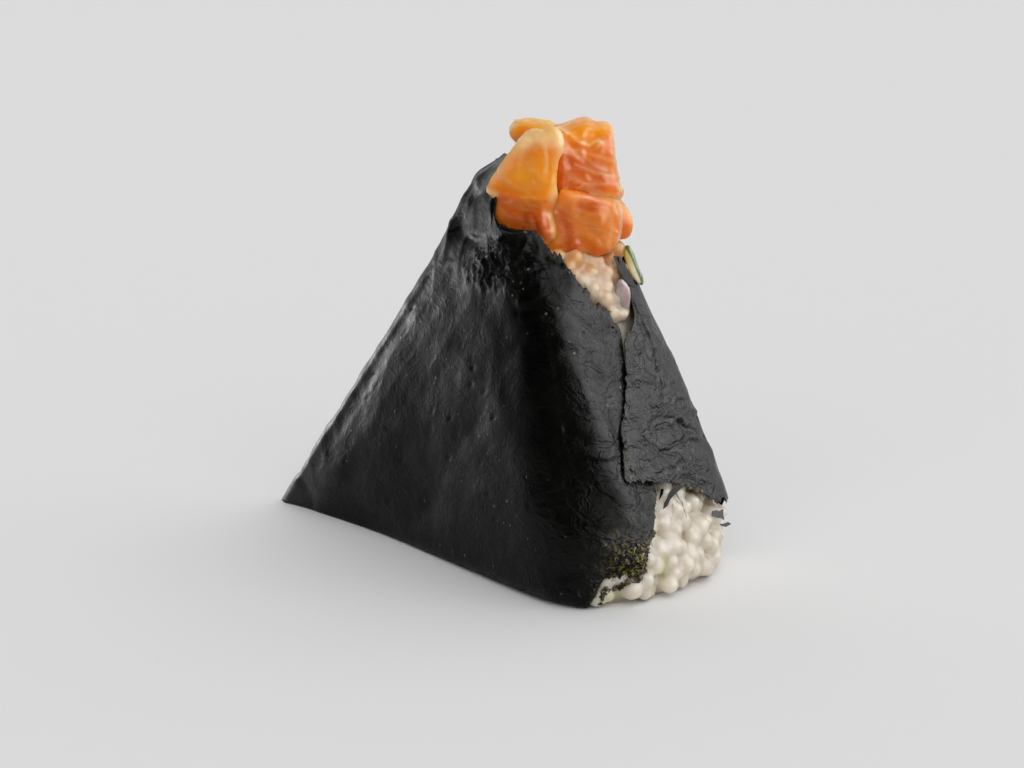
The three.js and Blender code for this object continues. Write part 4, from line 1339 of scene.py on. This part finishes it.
# %% [markdown]
# ## Finishes
# Each finish is one Principled shader whose colour, roughness and bump come from procedural
# textures read in the object's own space, so the grain has a true size. Values stored on the
# mesh steer them: where the sheet is torn, where the fat lies, which grain is which.

# %% Material helpers
def new_finish(name):
    finish = bpy.data.materials.new(name)
    finish.use_nodes = True
    return finish, finish.node_tree, finish.node_tree.nodes["Principled BSDF"]


def feed(socket, value):
    """Links a socket to another node's output, or sets it to a number or a colour."""
    if isinstance(value, bpy.types.NodeSocket):
        socket.id_data.links.new(value, socket)
    else:
        socket.default_value = (*value, 1.0) if socket.type == "RGBA" else value


def set_sockets(node, values):
    for name, value in values.items():
        feed(node.inputs[name], value)


def add_node(tree, kind, inputs=None, **settings):
    made = tree.nodes.new(kind)
    for name, value in settings.items():
        setattr(made, name, value)
    set_sockets(made, inputs or {})
    return made


def stored(tree, name):
    return add_node(tree, "ShaderNodeAttribute", attribute_name=name).outputs["Fac"]


def object_place(tree, stretch=(1, 1, 1)):
    """The place in the object's own space, stretched along its axes."""
    where = add_node(tree, "ShaderNodeTexCoord").outputs["Object"]
    return add_node(tree, "ShaderNodeMapping", {"Vector": where, "Scale": stretch}).outputs[0]


def mottle(tree, size_mm, detail=3.0, stretch=(1, 1, 1), twist=0.0):
    """Procedural noise whose bumps are about size_mm apart."""
    inputs = {"Vector": object_place(tree, stretch), "Scale": 1 / (size_mm * MM)}
    inputs |= {"Detail": detail, "Distortion": twist}
    return add_node(tree, "ShaderNodeTexNoise", inputs).outputs["Fac"]


def flecks(tree, size_mm):
    inputs = {"Vector": object_place(tree), "Scale": 1 / (size_mm * MM)}
    return add_node(tree, "ShaderNodeTexVoronoi", inputs).outputs["Distance"]


def ranged(tree, value, a, b, low=0.0, high=1.0):
    inputs = {"Value": value, "From Min": a, "From Max": b, "To Min": low, "To Max": high}
    return add_node(tree, "ShaderNodeMapRange", inputs).outputs[0]


def creased(tree, size_mm, width, stretch=(1, 1, 1)):
    """Sharp folds: 1 along the lines where a twisted noise passes its middle value."""
    inputs = {0: mottle(tree, size_mm, 3.0, stretch, 1.0), 1: 0.5}
    folded_back = add_node(tree, "ShaderNodeMath", inputs, operation="PINGPONG").outputs[0]
    return ranged(tree, folded_back, 0.5 - width, 0.5)


def combined(tree, a, b, operation="MULTIPLY"):
    inputs = {0: a, 1: b}
    return add_node(tree, "ShaderNodeMath", inputs, operation=operation, use_clamp=True).outputs[0]


def blended(tree, share, first, second):
    """The first colour where share is 0 and the second where it is 1."""
    inputs = {0: share, 6: first, 7: second}
    return add_node(tree, "ShaderNodeMix", inputs, data_type="RGBA").outputs[2]


def tinted(tree, colour, layers):
    """Lays tints over a colour, each as strong as a stored value times its own strength."""
    for value_name, strength, tint in layers:
        share = combined(tree, stored(tree, value_name), strength)
        colour = blended(tree, share, colour, tint)
    return colour


def bumped(tree, height, strength, distance_mm):
    inputs = {"Height": height, "Strength": strength, "Distance": distance_mm * MM}
    return add_node(tree, "ShaderNodeBump", inputs).outputs[0]


# %% [markdown]
# Nori is nearly black, so its shine and its fine creases say more than its colour. Its torn
# edges and corner are brown and golden, where light passes through the thin sheet.

# %% Nori finish
NORI_BLACK, NORI_WORN = (0.0010, 0.0010, 0.0009), (0.0034, 0.0034, 0.0028)
NORI_SPECK, NORI_EDGE, NORI_TORN = (0.14, 0.14, 0.10), (0.026, 0.022, 0.010), (0.13, 0.10, 0.01)
NORI_GLOSS, NORI_GRAIN = 0.16, 0.22
nori_finish, tree, shader = new_finish("nori_finish")
cloudy, fine = mottle(tree, 9), mottle(tree, 0.7, 5)
colour = blended(tree, ranged(tree, cloudy, 0.35, 0.7), NORI_BLACK, NORI_WORN)
scattered = ranged(tree, mottle(tree, 6), 0.5, 0.6)
specks = combined(tree, ranged(tree, flecks(tree, 2.4), 0.13, 0.05), scattered)
colour = blended(tree, specks, colour, NORI_SPECK)
ragged_gold = ranged(tree, mottle(tree, 0.8, 5), 0.52, 0.6)
colour = tinted(tree, colour, [
    ("border", ranged(tree, fine, 0.5, 0.62), NORI_EDGE), ("frayed", ragged_gold, NORI_TORN)])
wide_folds = combined(tree, creased(tree, 5.0, 0.10, (1, 1, 1.5)), 0.7)
fine_folds = combined(tree, creased(tree, 1.6, 0.08), 0.2)
crinkles = combined(tree, combined(tree, wide_folds, fine_folds, "ADD"), stored(tree, "crinkled"))
height = combined(tree, combined(tree, crinkles, 0.7), combined(tree, fine, NORI_GRAIN), "ADD")
sparse = ranged(tree, mottle(tree, 5), 0.48, 0.56)
pits = combined(tree, ranged(tree, flecks(tree, 3.7), 0.10, 0.05), sparse)
height = combined(tree, combined(tree, height, 0.3, "ADD"), combined(tree, pits, 0.6), "SUBTRACT")
set_sockets(shader, {
    "Base Color": colour, "Roughness": ranged(tree, mottle(tree, 2.2, 4), 0.3, 0.7, 0.25, 0.47),
    "Specular IOR Level": combined(tree, stored(tree, "sheen"), NORI_GLOSS),
    "Normal": bumped(tree, height, 1.0, 0.28),
})
for piece in (nori, fibre_piece, scrap_piece):
    piece.data.materials.append(nori_finish)
add_value(fibre_piece, "sheen", np.full(len(fibre_points), 1.2))
add_value(scrap_piece, "sheen", np.repeat(SCRAP_SHEEN, [len(points) for points, _ in scraps]))
print("nori finish with", len(tree.nodes), "nodes")

# %% [markdown]
# Crumbs are too small for creases. Each has a stored share of gold, from its random draw.

# %% Crumb finish
crumb_finish, tree, shader = new_finish("crumb_finish")
speckle = ranged(tree, mottle(tree, 0.5, 3), 0.35, 0.65)
dark_bit = blended(tree, speckle, (0.006, 0.005, 0.002), (0.03, 0.024, 0.006))
golden_bit = blended(tree, speckle, (0.13, 0.09, 0.008), (0.38, 0.33, 0.05))
set_sockets(shader, {
    "Base Color": blended(tree, ranged(tree, stored(tree, "gold"), 0.45, 0.9), dark_bit, golden_bit),
    "Normal": bumped(tree, mottle(tree, 0.3, 3), 0.4, 0.06),
    "Roughness": 0.5, "Specular IOR Level": 0.3,
})
crumb_piece.data.materials.append(crumb_finish)
print("crumb finish done")

# %% [markdown]
# Light passes into rice and raw fish and comes out again nearby, warmer than it went in. That
# is subsurface scattering: its radius says how far each of red, green and blue travels.

# %% Rice finish
rice_finish, tree, shader = new_finish("rice_finish")
colour = tinted(tree, blended(tree, stored(tree, "tone"), (0.61, 0.55, 0.46), (0.68, 0.62, 0.53)), [
    # painted shade: the deeper layer of grains and the core between the outer grains are coloured darker
    ("deep", 0.5, (0.55, 0.49, 0.33)),
    # an orange juice tint, darker than the rice, that also paints the shade in the hollow below the
    # salmon
    ("juice_and_shade", 0.9, (0.58, 0.29, 0.085)),
    ("stain", 0.6, (0.50, 0.46, 0.20)),
])
set_sockets(shader, {
    "Base Color": colour, "Roughness": ranged(tree, mottle(tree, 1.5), 0.3, 0.7, 0.28, 0.5),
    "Normal": bumped(tree, mottle(tree, 0.8, 3), 0.25, 0.1),
    "Subsurface Weight": 1.0, "Subsurface Radius": (1.0, 0.85, 0.65), "Subsurface Scale": 4.0 * MM,
    "Coat Weight": 0.05, "Coat Roughness": 0.2, "Specular IOR Level": 0.26,
})
for piece in (grains, rice_core):
    piece.data.materials.append(rice_finish)
print("rice finish with", len(tree.nodes), "nodes")

# %% [markdown]
# Raw salmon is orange all through, so one shader serves all five pieces. The strokes stored on
# the mesh say where it is golden, deep or pale, and stretched noise adds streaks of fat. The deep
# tint is mostly painted shade and the pale tint is partly painted light along edges and tops.

# %% Salmon finish
salmon_finish, tree, shader = new_finish("salmon_finish")
cloudy = ranged(tree, mottle(tree, 5, 4), 0.35, 0.68)
# deep: mostly painted shade under the pieces and in their creases, as a darker red
colour = tinted(tree, blended(tree, cloudy, (0.74, 0.165, 0.010), (0.84, 0.27, 0.020)), [
    ("golden", 0.8, (1.0, 0.43, 0.012)),
    ("deep", 0.8, (0.52, 0.075, 0.004)),
])
streaks = ranged(tree, mottle(tree, 1.7, 4, (1.0, 0.5, 2.6)), 0.54, 0.72, 0.0, 0.3)
colour = blended(tree, streaks, colour, (0.97, 0.46, 0.12))
set_sockets(shader, {
    # pale: lines of fat, and painted light along edges and tops
    "Base Color": tinted(tree, colour, [("pale", 0.8, (1.0, 0.72, 0.36))]),
    "Roughness": ranged(tree, mottle(tree, 2, 3), 0.3, 0.7, 0.22, 0.4),
    "Normal": bumped(tree, mottle(tree, 0.9, 3), 0.2, 0.12),
    "Subsurface Weight": 0.85, "Subsurface Radius": (1.0, 0.32, 0.08), "Subsurface Scale": 3.6 * MM,
    "Specular IOR Level": 0.28, "Coat Weight": 0.1, "Coat Roughness": 0.15,
})
for node_name in SALMON_MARKS:
    bpy.data.objects[node_name + "_flesh"].data.materials.append(salmon_finish)
print("salmon finish with", len(tree.nodes), "nodes")

# %% [markdown]
# Cucumber and onion are both wet plant flesh with a darker skin on one side. They differ only
# in their numbers, so one loop makes both finishes.

# %% Garnish finishes
GARNISH_LOOKS = {  # two colours of flesh, skin, roughness, how far light travels inside
    "cucumber_strip": ((0.60, 0.54, 0.15), (0.95, 0.86, 0.56), (0.10, 0.15, 0.035), 0.3, (0.8, 1.0, 0.4)),
    "onion_slice": ((0.26, 0.21, 0.20), (0.40, 0.33, 0.31), (0.42, 0.29, 0.30), 0.32, (1.0, 0.7, 0.7)),
}
for node_name, (flesh, paler, skin_tint, roughness, radius) in GARNISH_LOOKS.items():
    slot = GARNISHES[node_name][0]
    finish, tree, shader = new_finish(slot + "_finish")
    share = stored(tree, "pith") if slot == "cucumber" else ranged(tree, mottle(tree, 1.8), 0.35, 0.65)
    colour = blended(tree, share, flesh, paler)
    set_sockets(shader, {
        "Base Color": blended(tree, stored(tree, "skin"), colour, skin_tint),
        "Normal": bumped(tree, mottle(tree, 0.6), 0.3, 0.1),
        "Roughness": roughness, "Subsurface Weight": 0.35, "Subsurface Radius": radius,
        "Subsurface Scale": 1.0 * MM, "Coat Weight": 0.3,
    })
    bpy.data.objects[node_name + "_cut"].data.materials.append(finish)
print("garnish finishes:", ", ".join(GARNISH_LOOKS))

# %% [markdown]
# ## Table and light
# A pale floor that reaches past the picture on every side needs no backdrop. The light is a
# bright tent that is open towards the viewer: the black sheet mirrors the dim opening in
# front and the bright walls at its sides, which is what gives it its black middle.

# %% Floor
FLOOR_REACH, FLOOR_Z = 6000, -0.05
CORNERS = [(-1, -1), (1, -1), (1, 1), (-1, 1)]
floor_points = [(x * FLOOR_REACH, y * FLOOR_REACH, FLOOR_Z) for x, y in CORNERS]
floor = plain_object("floor", floor_points, [(0, 1, 2, 3)])
floor_finish, tree, shader = new_finish("floor_finish")
set_sockets(shader, {"Base Color": (0.85, 0.85, 0.85), "Roughness": 0.9, "Specular IOR Level": 0.0})
floor.data.materials.append(floor_finish)

# %% [markdown]
# The tent is the sky itself: its strength falls off towards the opening. Three wide suns add
# the even light on the food, and are left out of its reflections.

# %% Light
bpy.context.scene.view_settings.view_transform = "Standard"
world = bpy.data.worlds.new("tent")
bpy.context.scene.world = world
world.use_nodes = True
tree = world.node_tree
backdrop = tree.nodes["Background"]
heading = add_node(tree, "ShaderNodeTexCoord").outputs["Generated"]


def towards(direction):
    """1 where the sky lies in this direction, 0 at right angles to it."""
    inputs = {0: heading, 1: Vector(direction).normalized()}
    made = add_node(tree, "ShaderNodeVectorMath", inputs, operation="DOT_PRODUCT")
    return made.outputs["Value"]


opening = towards((0.25, -0.95, 0.3))
walls = ranged(tree, opening, -0.8, 0.3, 0.95, 0.03)
feed(backdrop.inputs["Strength"], walls)
feed(backdrop.inputs["Color"], (1, 1, 1))


def add_lamp(name, kind, direction, strength):
    lamp_data = bpy.data.lights.new(name, kind)
    lamp_data.energy = strength
    lamp = bpy.data.objects.new(name, lamp_data)
    lamp.rotation_euler = Vector(direction).to_track_quat("Z", "Y").to_euler()
    bpy.context.scene.collection.objects.link(lamp)
    return lamp


def wide_sun(name, direction, spread_degrees, strength):
    """An even light from one side of the sky: a sun with a very wide disc."""
    lamp = add_lamp(name, "SUN", direction, strength)
    lamp.data.angle = math.radians(spread_degrees)
    return lamp


LAMPS = {  # direction, width in degrees, strength
    "top_lamp": ((-0.1, 0.2, 1.0), 90, 0.72),
    "side_lamp": ((0.9, 0.0, 0.75), 80, 0.88),
    "front_lamp": ((math.sin(VIEW_TURN), -math.cos(VIEW_TURN), 0.6), 80, 1.15),
}
for name, placed in LAMPS.items():
    wide_sun(name, *placed).visible_glossy = False
print("lamps:", ", ".join(LAMPS))

# %% [markdown]
# Two soft boxes only show as reflections. They give the black sheet its grey sheen at both
# sides and leave its middle black, and they don't disturb the even light on the floor.

# %% Soft boxes
right_box = wide_sun("right_box", (0.861, 0.269, 0.43), 96, 10.5)
left_box = add_lamp("left_box", "AREA", (-1.0, 0.05, 0.0), 0.05)
left_box.location = Vector((-150, 8, 20)) * MM
left_box.data.shape = "RECTANGLE"
left_box.data.size = 60 * MM
left_box.data.size_y = 70 * MM
for box in (right_box, left_box):
    box.visible_diffuse = False
    box.visible_camera = False
print("soft boxes done")
